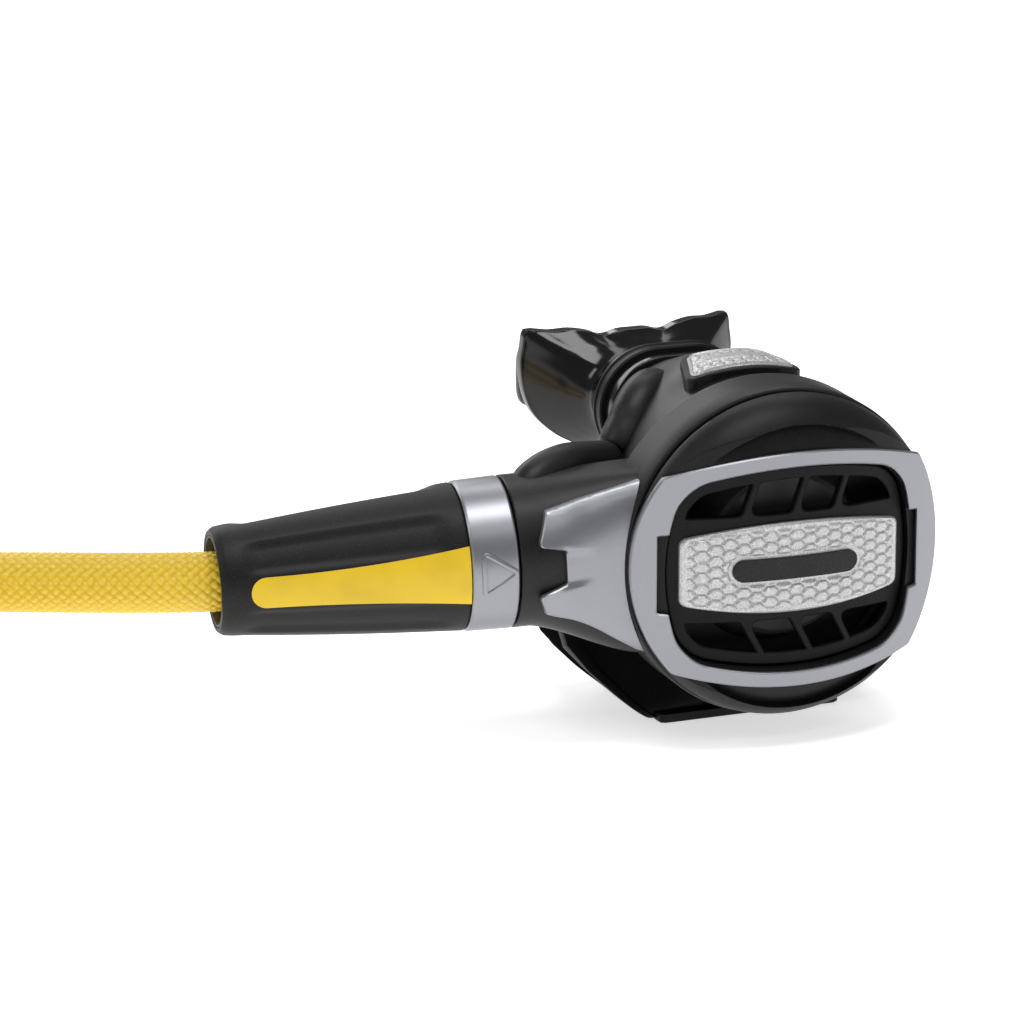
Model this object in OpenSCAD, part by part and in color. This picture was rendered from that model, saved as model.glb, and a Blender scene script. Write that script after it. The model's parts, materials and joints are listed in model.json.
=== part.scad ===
// Scuba second-stage demand regulator with its braided low-pressure hose.
// Millimetres. +X points away from the hose, -Y is the purge side, +Y is the mouthpiece side
// and +Z is up. The origin is the middle of the exhaust tee's resting face.

/* [Housing] */
// Radius of the round housing at its rim
housing_r = 37.5; // [37:0.25:38]
// Depth of the straight rim behind the cover
rim_depth = 14; // [13:0.5:15]
// Wall thickness of the moulded shells
wall = 2.4; // [2:0.2:2.8]
// Height of the housing's axis above the resting face
axis_height = 42.5; // [42:0.25:44]
// Distance from the cover joint back to the middle of the resting face
rest_back = 30; // [28:1:32]

/* [Valve barrel] */
// Outer radius of the barrel where it meets the selector ring
barrel_r = 17; // [16.5:0.25:17.5]
// Angle that the barrel is swept back from the X axis
sweep = 7.4; // [6:0.2:9]
// Angle that the barrel droops below the X axis
droop = 2.1; // [0:0.3:3]
// Outer radius of the inner valve tube
valve_r = 4.8; // [4.6:0.1:5]
// Bore radius of the inner valve tube
valve_bore_r = 3.6; // [3.4:0.1:3.8]

/* [Selector and grip] */
// Width of the selector ring
ring_w = 10.7; // [9:0.1:12]
// Length of the tapered grip
grip_len = 54.5; // [50:0.5:60]
// Radius of the grip beside the ring
grip_r = 16.5; // [16:0.25:17]
// Radius of the grip at the hose end
grip_end_r = 11.8; // [11.5:0.1:12.5]

/* [Purge cover] */
// How far the face ring stands in front of the cover joint
face_front = 11.5; // [11:0.25:12]
// Radius of the face ring's curve about a vertical axis
face_curve_r = 72; // [70:1:80]
// How far the face's centre lies below the housing's axis
face_drop = 1; // [0:0.5:2]
// Half width of the purge button
button_hw = 28.9; // [28:0.1:29]
// Half height of the purge button
button_hh = 22.6; // [22:0.1:23]
// Purge travel
purge_travel = 3.2; // [3:0.1:3.2]

/* [Mouthpiece] */
// Height of the mouthpiece neck's axis above the housing's axis
neck_rise = 18.5; // [18:0.5:19]
// Width of the neck
neck_w = 35; // [34:0.5:36]
// Height of the neck
neck_h = 26; // [25:0.5:27]
// Width of the bite flange
flange_w = 57; // [54:1:60]
// Height of the bite flange
flange_h = 28; // [26:1:30]

/* [Hose] */
// Outer diameter of the braided hose
hose_d = 13.4; // [13:0.1:13.6]
// Centreline radius where the outer turn of the coil starts
coil_start_r = 82; // [82:1:84]
// Centreline radius after one whole turn
coil_end_r = 67; // [66:1:68]

/* [Hidden] */

fine = 96;          // facets of a full circle on the small and medium round parts
coarse = 32;        // facets of the round children inside a hull
fit = 0.05;         // gap between parts that stay together
running = 0.3;      // gap between parts that move past each other
black = "#1b1b1d";
gloss_black = "#0c0c0e";
silver = "#b4b6ba";
brass = "#c9a24a";
steel = "#9aa0a6";
yellow = "#f2c80f";
rubber = "#26262a";

// Barrel axis: the point at the selector ring's inner edge, in the housing's frame.
barrel_foot = [-59, 16, 1.5];
barrel_dir = [
    -cos(droop) * cos(sweep),
    cos(droop) * sin(sweep),
    -sin(droop)
];
ring_end = ring_w + 0.3;
grip_end = ring_end + grip_len;

// Front face: a cylinder about a vertical axis.
face_axis_y = face_curve_r - face_front;
button_curve_r = 84;
button_front = 7.8;
badge_t = 1.1;
button_t = 2.2;

// Diaphragm stack, measured back from the cover joint.
ledge_y = 5;
ledge_r = 34.5;
cavity_r = 31.5;
dome_y = -3.3;
membrane_t = 0.8;

// Valve stations along the barrel axis, positive towards the hose.
lever_s = -50.4;
tube_end_s = -56;
seat_s = -19;

// Hose route in the part's frame, from the crimped ferrule down to the coil.
hose_route = [
    [-104.6, -8.1, 42.3],
    [-115.5, -6.7, 41.9],
    [-124, -5.6, 41.6],
    [-134.5, -2.8, 41.7],
    [-146, 1.5, 41.7],
    [-158, 6.8, 41.6],
    [-169.3, 12.7, 41.2],
    [-179.5, 20, 40.2],
    [-189.5, 28, 38],
    [-199, 36.5, 34.6],
    [-208.5, 45, 30.2],
    [-218, 53.5, 25.2],
    [-228, 61.3, 20.2],
    [-238.2, 68.8, 15.4],
    [-249.2, 75, 11.4],
    [-261, 79.8, 8.4],
    [-273.4, 82.5, 6.8]
];
// Last stretch of the hose, from the inside of the coil up across its first turn.
tail_route = [
    [-274.7, 67.5, 6.7],
    [-282.8, 67.8, 7.3],
    [-291, 67.3, 8.8],
    [-299.2, 66, 11.1],
    [-307.2, 63.8, 13.7],
    [-315.1, 60.8, 16.4],
    [-322.8, 56.9, 18.8],
    [-330.1, 52.2, 20.7],
    [-337, 46.6, 21.8],
    [-343.5, 40.2, 22],
    [-349.4, 32.9, 22]
];
hose_sides = 10;

// Bypass tube in the housing's frame, from inside the barrel's wall to the neck.
bypass_r = 5.4;
bypass_route = [
    [-53, 19, 9], [-50, 22, 12.4], [-46.5, 25.6, 15.2], [-42, 29.3, 16.6], [-36, 33.6, 16.9],
    [-30.5, 37, 17], [-26, 40.5, 17.8], [-22.5, 44.5, 19.4], [-19.5, 49, 20.6], [-17, 54, 21]
];
coil_centre = [-280.5, 0.8];
lp_heading = 233;
ferrule_s = 24;
ferrule_len = 22;
lp_ferrule_len = 22;
lp_hex_len = 11;
lp_thread_len = 10;
lp_thread_r = 4.76;

// Frames ---------------------------------------------------------------------------------

// The housing's frame: origin on its axis at the cover joint.
module at_housing() translate([0, -rest_back, axis_height]) children();

// Local +Z runs out along the barrel, local +X is nearly up and local +Y nearly back.
module at_barrel(s = 0)
    at_housing() translate(barrel_foot) rotate([0, -90 - droop, -sweep]) translate([0, 0, s]) children();

// Local +Z is the direction in which the exhaust valve opens.
module at_exhaust() at_housing() translate([0, 36.5, -19.2]) rotate([-127, 0, 0]) children();

// Local +Z runs out along the low-pressure fitting at the hose's far end.
module at_lp_fitting(s = 0)
    translate(tail_route[len(tail_route) - 1]) rotate([0, 90, lp_heading]) translate([0, 0, s]) children();

// A front-view outline given as (x, z), extruded from y to y + depth.
module facing(y, depth) translate([0, y + depth, 0]) rotate([90, 0, 0]) linear_extrude(depth) children();

// A profile given as (radius, y), turned about the Y axis.
module turned(points) rotate([-90, 0, 0]) rotate_extrude($fn = 2 * fine) polygon(points);

// A profile given as (radius, s), turned about a local Z axis.
module spun(points) rotate_extrude($fn = fine) polygon(points);

// A tube between two stations on a local Z axis.
module tube(r_out, r_in, s0, s1) translate([0, 0, s0]) difference() {
    cylinder(r = r_out, h = s1 - s0, $fn = fine);
    translate([0, 0, -1]) cylinder(r = r_in, h = s1 - s0 + 2, $fn = fine);
}

// A ring of round section about a local Z axis.
module o_ring(r, section_r) rotate_extrude($fn = fine) translate([r, 0]) circle(section_r, $fn = coarse);

// A flat-sided oval of width w and height h.
module oval(w, h) {
    square([w - h, h], center = true);
    for (side = [-1, 1]) translate([side * (w - h) / 2, 0]) circle(h / 2, $fn = fine);
}

function unit(v) = v / norm(v);

// A round tube of radius r swept along a path.
module swept(path, r, sides, up) {
    last = len(path) - 1;
    points = [
        for (i = [0 : last])
            let (t = unit(path[min(i + 1, last)] - path[max(i - 1, 0)]),
                 a = unit(cross(t, up)),
                 b = cross(t, a))
            for (k = [0 : sides - 1])
                path[i] + r * (cos(360 * k / sides) * a + sin(360 * k / sides) * b)
    ];
    walls = [
        for (i = [0 : last - 1])
            for (k = [0 : sides - 1])
                let (n = (k + 1) % sides, low = i * sides, high = low + sides)
                each [[low + k, high + k, high + n], [low + k, high + n, low + n]]
    ];
    caps = [
        [for (k = [0 : sides - 1]) k],
        [for (k = [sides - 1 : -1 : 0]) last * sides + k]
    ];
    polyhedron(points, concat(walls, caps), convexity = 10);
}

// A compression spring about a local Z axis.
module coil_spring(r, wire_r, length, turns) {
    steps = 12;
    rise = length - 2 * wire_r;
    path = [
        for (i = [0 : steps * turns])
            [r * cos(360 * i / steps), r * sin(360 * i / steps), wire_r + rise * i / (steps * turns)]
    ];
    swept(path, wire_r, 6, [0, 0, 1]);
}

// Housing --------------------------------------------------------------------------------

// The blended dome from the rim to the mouthpiece neck, grown by g.
module dome(g) hull() {
    translate([0, 13, 0]) rotate([-90, 0, 0]) cylinder(r = housing_r + g, h = 1, $fn = 2 * coarse);
    translate([0, 24, 0]) rotate([-90, 0, 0]) cylinder(r = 35.6 + g, h = 1, $fn = 2 * coarse);
    translate([0, 40, 10]) rotate([-90, 0, 0]) scale([27 + g, 24.5 + g, 1])
        cylinder(r = 1, h = 1, $fn = 2 * coarse);
    translate([0, 55.5 + g, neck_rise]) rotate([-90, 0, 0]) scale([neck_w / 2 + g, neck_h / 2 + g, 1])
        cylinder(r = 1, h = 1, $fn = coarse);
}

// The shoulder that blends the barrel into the rim, grown by g. Drawn in the housing's frame.
module shoulder(g) hull() {
    translate(barrel_foot) rotate([0, -90 - droop, -sweep]) translate([0, 0, -4])
        cylinder(r = barrel_r + g, h = 2, $fn = 2 * coarse);
    for (z = [-19, 17.6], y = [4.2, 20])
        translate([-30, y, z]) rotate([0, 90, 0]) cylinder(r = 3.4 + g, h = 6, center = true, $fn = coarse);
}

module housing() color(black) difference() {
    union() {
        at_housing() turned([
            [cavity_r - 1, ledge_y],
            [cavity_r - 1, rim_depth],
            [housing_r, rim_depth],
            [housing_r, 0.8],
            [housing_r - 0.6, 0],
            [ledge_r, 0],
            [ledge_r, ledge_y]
        ]);
        at_housing() difference() {
            dome(0);
            dome(-wall);
            // Open front of the dome, inside the rim.
            translate([0, 10, 0]) rotate([-90, 0, 0]) cylinder(r = cavity_r, h = 12, $fn = 2 * fine);
        }
        at_housing() difference() {
            shoulder(0);
            translate([0, -1, 0]) rotate([-90, 0, 0]) cylinder(r = cavity_r + 1, h = 60, $fn = 2 * fine);
        }
        at_barrel(-6) cylinder(r = barrel_r, h = 6, $fn = 2 * fine);
        // Sleeve inside the shoulder that carries the valve tube, clear of the cover.
        difference() {
            at_barrel(-30) cylinder(r = 13.6, h = 30, $fn = fine);
            at_housing() translate([-60, -20, -30]) cube([40, 20.6, 60]);
        }
        // Journal that the selector ring turns on.
        at_barrel(-1) cylinder(r = 13.6, h = ring_end + 0.9, $fn = fine);
        // Neck that the mouthpiece is pushed onto.
        at_housing() translate([0, 0, neck_rise]) facing(54, 14) oval(neck_w - 4.2, neck_h - 4.2);
        // Screw-in seat boss for the exhaust valve.
        at_exhaust() translate([0, 0, -2.6]) cylinder(r = 18, h = 2.4, $fn = fine);
    }
    // Cavity stays clear of the barrel and shoulder.
    at_housing() translate([0, ledge_y, 0]) rotate([-90, 0, 0]) cylinder(r = cavity_r, h = 14, $fn = 2 * fine);
    at_housing() translate([0, -1, 0]) rotate([-90, 0, 0])
        cylinder(r = ledge_r, h = ledge_y + 1, $fn = 2 * fine);
    at_barrel(-34) cylinder(r = 9.05, h = 40, $fn = fine);
    at_barrel(-22) cylinder(r = 12, h = 40, $fn = fine);
    at_housing() translate([0, 0, neck_rise]) facing(50, 20) oval(neck_w - 9, neck_h - 9);
    at_exhaust() translate([0, 0, -6]) cylinder(r = 15.5 + fit, h = 12, $fn = fine);
    // Port from the barrel into the bypass tube.
    at_housing() translate([-47.5, 22, 10]) cylinder(r = 3.4, h = 12, $fn = fine);
}

// Tube that carries air from the barrel straight to the mouthpiece neck.
module bypass_tube() color(black) at_housing() difference() {
    swept(bypass_route, bypass_r, 16, [0, 0, 1]);
    dome(fit);
    translate(barrel_foot) rotate([0, -90 - droop, -sweep]) translate([0, 0, -6])
        cylinder(r = barrel_r + fit, h = 8, $fn = 2 * fine);
    shoulder(fit);
}

// Forked metal plate over the shoulder between the face and the barrel.
module fork_trim() color(silver) at_housing() intersection() {
    difference() {
        shoulder(1);
        shoulder(fit);
        translate(barrel_foot) rotate([0, -90 - droop, -sweep]) translate([0, 0, -6])
            cylinder(r = barrel_r + fit, h = 10, $fn = 2 * fine);
        translate([0, -20, 0]) rotate([-90, 0, 0])
            cylinder(r = housing_r + 0.5, h = 60, $fn = 2 * fine);
    }
    facing(-8, 18) polygon([
        [-28, 19.6], [-54.9, 13.9], [-57.9, 7.2], [-52, 5.9], [-51, 4.8], [-51, -1.6], [-52, -2.7],
        [-57.4, -4.3], [-54.7, -9.3], [-50.5, -10.5], [-44, -13.3], [-38, -16.8], [-28, -22.4]
    ]);
}

// Curved plate let into the top of the dome.
module top_badge() color(silver) at_housing() intersection() {
    difference() {
        dome(0.9);
        dome(fit);
    }
    translate([0, 34, 25]) linear_extrude(20) offset(r = 2) square([22, 8], center = true);
}

// Purge cover ----------------------------------------------------------------------------

// The cover's rounded shoulder, shrunk by g, as (radius, y) points.
function cover_curve(g) = [
    for (a = [0 : 9 : 81]) [24 + (13 - g) * cos(a), -(12 - g) * sin(a)]
];

// The space behind the curved front face, set back by g.
module behind_face(g) translate([0, face_axis_y, -60])
    cylinder(r = face_curve_r - g, h = 120, $fn = 4 * fine);

// Outline of the purge button, grown by g, about the face's centre.
module button_outline(g) translate([0, -face_drop]) offset(r = 9 + g) intersection() {
    for_side_arc(button_hw - 9, 42, [1, 0]);
    for_side_arc(button_hw - 9, 42, [-1, 0]);
    for_side_arc(button_hh - 9, 80, [0, 1]);
    for_side_arc(button_hh - 9, 80, [0, -1]);
}

// A disc of radius r whose edge lies at the given reach along a direction.
module for_side_arc(reach, r, direction) translate((reach - r) * direction) circle(r, $fn = 4 * fine);

module cover_ring() color(black) at_housing() difference() {
    union() {
        intersection() {
            turned(concat([[0, 0]], cover_curve(0), [[0, -12]]));
            behind_face(1.5);
        }
        // Skirt that clamps the diaphragm ring.
        turned([[32.2, -1], [ledge_r - fit, -1], [ledge_r - fit, 2.35], [32.2, 2.35]]);
    }
    turned(concat([[0, 3], [32.2, 3], [32.2, -1.5], [24 + 10.6, -1.5]], [
        for (a = [12 : 9 : 66]) [23 + 11 * cos(a), -9.6 * sin(a)]
    ], [[0, -8.8]]));
    facing(-20, 25) button_outline(running + 0.2);
    // Crescent recesses above and below the face ring.
    for (side = [-1, 1]) intersection() {
        facing(-20, 18) translate([0, -face_drop]) difference() {
            circle(33.4, $fn = 2 * fine);
            translate([0, -side * 73]) circle(101, $fn = 4 * fine);
            translate([-40, side > 0 ? -60 : 0]) square([80, 60]);
            for (end = [-1, 1]) translate([end * 36, 0]) square([36, 80], center = true);
        }
        difference() {
            turned(concat([[0, 2]], [for (p = cover_curve(0)) p * 1.1], [[0, -20]]));
            turned(concat([[0, 2]], cover_curve(0.9), [[0, -11.1]]));
        }
    }
}

module face_ring() color(silver) at_housing() intersection() {
    facing(-20, 25) translate([0, -face_drop]) difference() {
        intersection() {
            translate([0, face_drop]) circle(36.8, $fn = 2 * fine);
            for_arch(1);
            for_arch(-1);
        }
        translate([0, face_drop]) button_outline(0.9);
        offset(r = 1) offset(r = -1) square([63, 16.4], center = true);
    }
    difference() {
        behind_face(0);
        behind_face(1.45);
    }
}

// Everything below the top arch (side 1) or above the bottom arch (side -1) of the face ring.
module for_arch(side) translate([0, side * (26.8 - 100)]) circle(100, $fn = 4 * fine);

// Everything behind the button's curved front, set back by g.
module behind_button(g) translate([0, button_curve_r - button_front, -60])
    cylinder(r = button_curve_r - g, h = 120, $fn = 4 * fine);

// One side's row of leaning slots. side 1 is above the badge.
module slot_row(side) {
    lean = side > 0 ? 2.8 : 4.2;
    inner = 12.4;
    outer = 20;
    ribs = [-11.6, 0, 10.2];
    intersection() {
        offset(r = 3) offset(r = -3.8) translate([0, face_drop]) button_outline(-1.6);
        difference() {
            translate([-26.5, side > 0 ? inner : -outer]) square([53, outer - inner]);
            for (x = ribs) polygon([
                [x - 1, side * (inner - 1)],
                [x + 1, side * (inner - 1)],
                [x + lean + 1.4, side * (outer + 1)],
                [x + lean - 0.8, side * (outer + 1)]
            ]);
        }
    }
}

module purge_grille() color(black) at_housing() difference() {
    union() {
        intersection() {
            facing(-20, 30) button_outline(0);
            difference() {
                behind_button(0);
                behind_button(button_t);
            }
        }
        // Boss that pushes the diaphragm.
        translate([0, -6.4, 0]) rotate([-90, 0, 0]) cylinder(r = 4, h = 6.4 + dome_y - running, $fn = fine);
        // Spring posts.
        for (side = [-1, 1]) translate([side * 24.5, -3, 0]) rotate([-90, 0, 0])
            cylinder(r = 1.1, h = 1.6, $fn = coarse);
    }
    for (side = [-1, 1]) facing(-20, 40) translate([0, -face_drop]) slot_row(side);
}

// Barrel-shaped badge outline with rounded corners.
module badge_outline(g) translate([0, -face_drop]) offset(r = 2.6 + g) intersection() {
    square([2 * (26.2 - 2.6), 2 * (10.3 - 2.6)], center = true);
    translate([0, 7.7 - 128]) circle(128, $fn = 4 * fine);
    translate([0, 128 - 7.7]) circle(128, $fn = 4 * fine);
}

module purge_badge() color(silver) at_housing() intersection() {
    facing(-20, 30) badge_outline(0);
    difference() {
        behind_button(-badge_t);
        behind_button(-fit);
    }
}

// Plain raised bar in the middle of the badge.
module purge_emblem() color(black) at_housing() intersection() {
    facing(-20, 30) translate([0, -face_drop]) oval(30, 5);
    difference() {
        behind_button(-badge_t - 0.7);
        behind_button(-badge_t - fit);
    }
}

module purge_springs() color(steel) at_housing()
    for (side = [-1, 1]) translate([side * 24.5, -1.3, 0]) rotate([-90, 0, 0])
        coil_spring(1.9, 0.3, 4.15, 4);

// Diaphragm ------------------------------------------------------------------------------

module diaphragm() color(rubber) at_housing() turned([
    [0, dome_y],
    [17.6, dome_y],
    [18.6, dome_y + 0.6],
    [21.8, 4],
    [31.8, 4],
    [31.8, 3.65],
    [ledge_r - 0.3, 3.65],
    [ledge_r - 0.3, ledge_y - fit],
    [31.8, ledge_y - fit],
    [31.2, 4 + membrane_t],
    [20.9, 4 + membrane_t],
    [17.7, dome_y + membrane_t + 0.5],
    [17.2, dome_y + membrane_t],
    [0, dome_y + membrane_t]
]);

module diaphragm_disc() color(steel) at_housing() turned([
    [0, dome_y + membrane_t + fit],
    [15.5, dome_y + membrane_t + fit],
    [15.5, dome_y + membrane_t + 0.5],
    [15, dome_y + membrane_t + 0.7],
    [0, dome_y + membrane_t + 0.7]
]);

// Retaining ring with two ears that carry the purge springs.
module diaphragm_ring() color(black) at_housing() {
    turned([[29.6, 3], [30.8, 2.4], [ledge_r - 0.2, 2.4], [ledge_r - 0.2, 3.6], [29.6, 3.6]]);
    for (side = [-1, 1]) facing(2.9, 0.7) translate([side * 26.2, 0]) square([8.4, 6.4], center = true);
}

// Demand valve ---------------------------------------------------------------------------

// Fork-footed lever between the diaphragm disc and the poppet.
module demand_lever() color(steel) at_housing() {
    pivot = barrel_foot + lever_s * barrel_dir;
    half = valve_r + 0.7;
    translate([0, 0, pivot[2]]) {
        // Arm that rises to the diaphragm disc.
        linear_extrude(5, center = true) polygon([
            [pivot[0] + 2.5, 2.5], [9, -1.5], [10.4, -1.5], [10.4, -0.7], [9.2, -0.7], [pivot[0] + 2.7, 3.3]
        ]);
        // Bridge over the valve tube.
        translate([pivot[0] - 2, 2.5, -half - 0.8]) cube([5, 0.8, 2 * half + 1.6]);
        for (side = [-1, 1]) {
            // Side plate.
            translate([pivot[0] - 2, 2.5, side * (half + 0.4) - 0.4]) cube([3.2, pivot[1] - 1.4, 0.8]);
            // Round foot that reaches through the tube's slot to the poppet.
            translate([pivot[0], pivot[1], side * (half / 2 + 1.35) - (half / 2 - 0.95)])
                cylinder(r = 0.8, h = half - 1.9, $fn = coarse);
        }
    }
}

// Inner brass tube with the poppet bore, a lever slot on both sides and the hose thread.
module valve_tube() color(brass) at_barrel() difference() {
    union() {
        translate([0, 0, tube_end_s]) cylinder(r = valve_r, h = 36, $fn = fine);
        translate([0, 0, -21.5]) cylinder(r = 9, h = 27.5, $fn = fine);
        translate([0, 0, 5]) cylinder(r = 7.1, h = 11, $fn = fine);
    }
    translate([0, 0, tube_end_s - 1]) cylinder(r = valve_bore_r, h = 38, $fn = fine);
    translate([0, 0, seat_s]) cylinder(r = 5.6, h = 40, $fn = fine);
    // Lever slots.
    translate([0, 0, lever_s]) cube([30, 3.4, 6], center = true);
    // Cross holes that let the air out into the housing.
    translate([0, 0, -40]) rotate([90, 0, 0]) cylinder(r = 1.8, h = 20, center = true, $fn = coarse);
    // Hole that feeds the shutter's port.
    translate([0, 0, -23.8]) rotate([0, 90, 0]) cylinder(r = 1.6, h = 12, $fn = coarse);
}

// Poppet: carrier, stem and threaded tail.
module poppet() color(brass) at_barrel() difference() {
    spun([
        [0, -55.2], [1.2, -55.2], [1.2, -33], [2, -32], [valve_bore_r - 0.1, -31.5],
        [valve_bore_r - 0.1, seat_s - 3], [0, seat_s - 3]
    ]);
    translate([0, 0, seat_s - 4.2]) cylinder(r = 2.65, h = 2, $fn = fine);
}

module poppet_pad() color(rubber) at_barrel(seat_s - 4.2) cylinder(r = 2.6, h = 1.9, $fn = fine);

module poppet_spring() color(steel) at_barrel(-46.6) coil_spring(2.5, 0.4, 13.2, 6);

module lever_washer() color(steel) at_barrel() tube(3.3, 1.3, lever_s - 1.5, lever_s - 0.9);

// Lock nut on the poppet's tail.
module poppet_nut() color(brass) at_barrel(lever_s - 3.5) difference() {
    cylinder(r = 2.9, h = 1.9, $fn = 6);
    translate([0, 0, -1]) cylinder(r = 1.2 + fit, h = 4, $fn = coarse);
}

// Adjustable orifice whose knife edge the poppet closes.
module orifice() color(brass) at_barrel() difference() {
    spun([
        [1.8, seat_s - 2.2], [2.2, seat_s - 2.2], [2.6, seat_s + 0.4], [5.55, seat_s + 0.4],
        [5.55, seat_s + 3], [4.7, seat_s + 3], [4.7, seat_s + 5], [5.55, seat_s + 5],
        [5.55, seat_s + 11], [1.8, seat_s + 11]
    ]);
    // Hexagonal key socket.
    translate([0, 0, seat_s + 7]) cylinder(r = 2.9, h = 5, $fn = 6);
}

module orifice_oring() color(rubber) at_barrel(seat_s + 4) o_ring(5.15, 0.42);

// Slotted nut that holds the valve tube in the barrel.
module inlet_nut() color(steel) at_barrel() tube(10.1, 9 + fit, -2, 3);

// Selector and grip ----------------------------------------------------------------------

module selector_ring() color(silver) at_barrel() {
    spun([
        [13.6 + 0.06, 0.3], [16.4, 0.3], [barrel_r, 0.9], [grip_r + 0.15, ring_end - 0.5],
        [grip_r - 0.2, ring_end], [13.6 + 0.06, ring_end]
    ]);
    // Raised pointer that shows the setting.
    rotate([0, 0, -90]) translate([barrel_r - 0.9, 0, 5.6]) rotate([0, 90, 0])
        linear_extrude(1.2) polygon([[4, 0], [-3, 4.4], [-3, -4.4]]);
}

// Radius of the grip at station s.
function grip_radius(s) = grip_r + (grip_end_r - grip_r) * (s - ring_end) / grip_len;

module selector_grip() color(black) at_barrel() difference() {
    spun([
        [13, ring_end + fit], [grip_r - 0.4, ring_end + fit], [grip_r, ring_end + 1],
        [grip_radius(grip_end - 1), grip_end - 1], [grip_end_r - 0.7, grip_end],
        [10.1, grip_end], [10.1, grip_end - 6], [grip_radius(40) - wall, 40],
        [12.2, 22], [12.2, 18], [11.7, 18], [11.7, 14.4], [13, 14.4]
    ]);
    inlay_block(0.05);
}

// The space that the coloured inlay fills, grown by g, on the grip's front.
module inlay_block(g) intersection() {
    rotate([0, 0, -90]) translate([9, 0, 0]) rotate([0, 90, 0]) linear_extrude(12) offset(r = g) hull() {
        translate([-(ring_end + 0.5), 0]) square([0.2, 14], center = true);
        translate([-(grip_end - 10), 0]) circle(3.6, $fn = coarse);
    }
    difference() {
        spun([[5, ring_end], [grip_r + 0.3, ring_end], [grip_radius(grip_end) + 0.3, grip_end], [5, grip_end]]);
        spun([
            [4, ring_end - 1], [grip_r - 1 - g, ring_end - 1], [grip_radius(grip_end) - 0.9 - g, grip_end + 1],
            [4, grip_end + 1]
        ]);
    }
}

module grip_inlay() color(yellow) at_barrel() intersection() {
    inlay_block(0);
    spun([[5, ring_end + fit], [grip_r, ring_end + fit], [grip_radius(grip_end), grip_end], [5, grip_end]]);
}

module grip_liner() color(silver) at_barrel() tube(10.1 - fit, 9.05, grip_end - 5.9, grip_end - 0.4);

// Sleeve that opens or shuts the port into the bypass tube as the selector turns.
module mode_shutter() color(rubber) at_barrel() difference() {
    union() {
        tube(11.6, 10.4, -14, 20);
        tube(12.15, 11.5, 18 + fit, 20);
    }
    translate([0, 0, -9]) rotate([0, 90, 0]) cylinder(r = 3, h = 14, $fn = coarse);
}

module shutter_oring() color(rubber) at_barrel(13.2) o_ring(12.3, 0.6);

// Hose end inside the grip ----------------------------------------------------------------

module hose_nut() color(steel) at_barrel() difference() {
    translate([0, 0, 7]) cylinder(r = 9.6, h = 13, $fn = 6);
    translate([0, 0, 6]) cylinder(r = 7.1 + fit, h = 11, $fn = fine);
    translate([0, 0, 10]) cylinder(r = 5.2, h = 12, $fn = fine);
}

module hose_stem() color(brass) at_barrel() difference() {
    spun([
        [2.4, 9], [5.5, 9], [5.5, 11.4], [4.9, 11.4], [4.9, 13.2], [5.5, 13.2], [5.5, 16.9],
        [5.1, 16.9], [5.1, ferrule_s], [3.4, ferrule_s], [3.4, ferrule_s + ferrule_len - 2],
        [2.4, ferrule_s + ferrule_len - 2]
    ]);
}

module hose_oring() color(rubber) at_barrel(12.3) o_ring(5.25, 0.4);

// Crimped sleeve with shallow crimp bands.
module hose_ferrule() color(steel) at_barrel() spun([
    [5.15, ferrule_s - 3.5], [7.6, ferrule_s - 3.5], [8.4, ferrule_s - 2.6], [8.4, ferrule_s + 3],
    [7.9, ferrule_s + 4], [7.9, ferrule_s + 9], [8.4, ferrule_s + 10], [8.4, ferrule_s + 12],
    [7.9, ferrule_s + 13], [7.9, ferrule_s + 18], [8.4, ferrule_s + 19], [8.4, ferrule_s + 21],
    [7.8, ferrule_s + ferrule_len], [3.45, ferrule_s + ferrule_len], [3.45, ferrule_s + 0.1],
    [5.15, ferrule_s - 0.1]
]);

// Hose and its far end ---------------------------------------------------------------------

module hose_tube() color(yellow) swept(hose_route, hose_d / 2, hose_sides, [0, 0, 1]);

// Outer shape of the laid coil: one turn that winds inwards on the floor.
module hose_coil() color(yellow) translate([coil_centre[0], coil_centre[1], hose_d / 2])
    rotate_extrude($fn = 2 * fine)
        translate([(coil_start_r + coil_end_r) / 2, 0]) oval(coil_start_r - coil_end_r + hose_d, hose_d);

module hose_tail() color(yellow) swept(tail_route, hose_d / 2, hose_sides, [0, 0, 1]);

module lp_ferrule() color(steel) at_lp_fitting() spun([
    [0, fit], [7.1, fit], [7.6, 1], [7.6, 4], [7.2, 5], [7.2, 9], [7.6, 10], [7.6, 12], [7.2, 13],
    [7.2, 17], [7.6, 18], [7.6, lp_ferrule_len - 1], [6.8, lp_ferrule_len], [0, lp_ferrule_len]
]);

// Hexagon and male thread that screw into a first stage.
module lp_fitting() color(steel) at_lp_fitting(lp_ferrule_len + fit) difference() {
    union() {
        intersection() {
            rotate([0, 0, 30]) cylinder(r = 8.08, h = lp_hex_len, $fn = 6);
            spun([[0, 0], [7.2, 0], [8.1, 0.8], [8.1, lp_hex_len - 0.8], [7.2, lp_hex_len], [0, lp_hex_len]]);
        }
        translate([0, 0, lp_hex_len - 0.1]) cylinder(r = 4, h = 2.2, $fn = fine);
        translate([0, 0, lp_hex_len + 2]) cylinder(r = lp_thread_r, h = lp_thread_len, $fn = fine);
    }
    translate([0, 0, -1]) cylinder(r = 2.4, h = 40, $fn = fine);
}

module lp_oring() color(rubber) at_lp_fitting(lp_ferrule_len + fit + lp_hex_len + 1) o_ring(4.9, 0.88);

// Exhaust ----------------------------------------------------------------------------------

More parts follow.
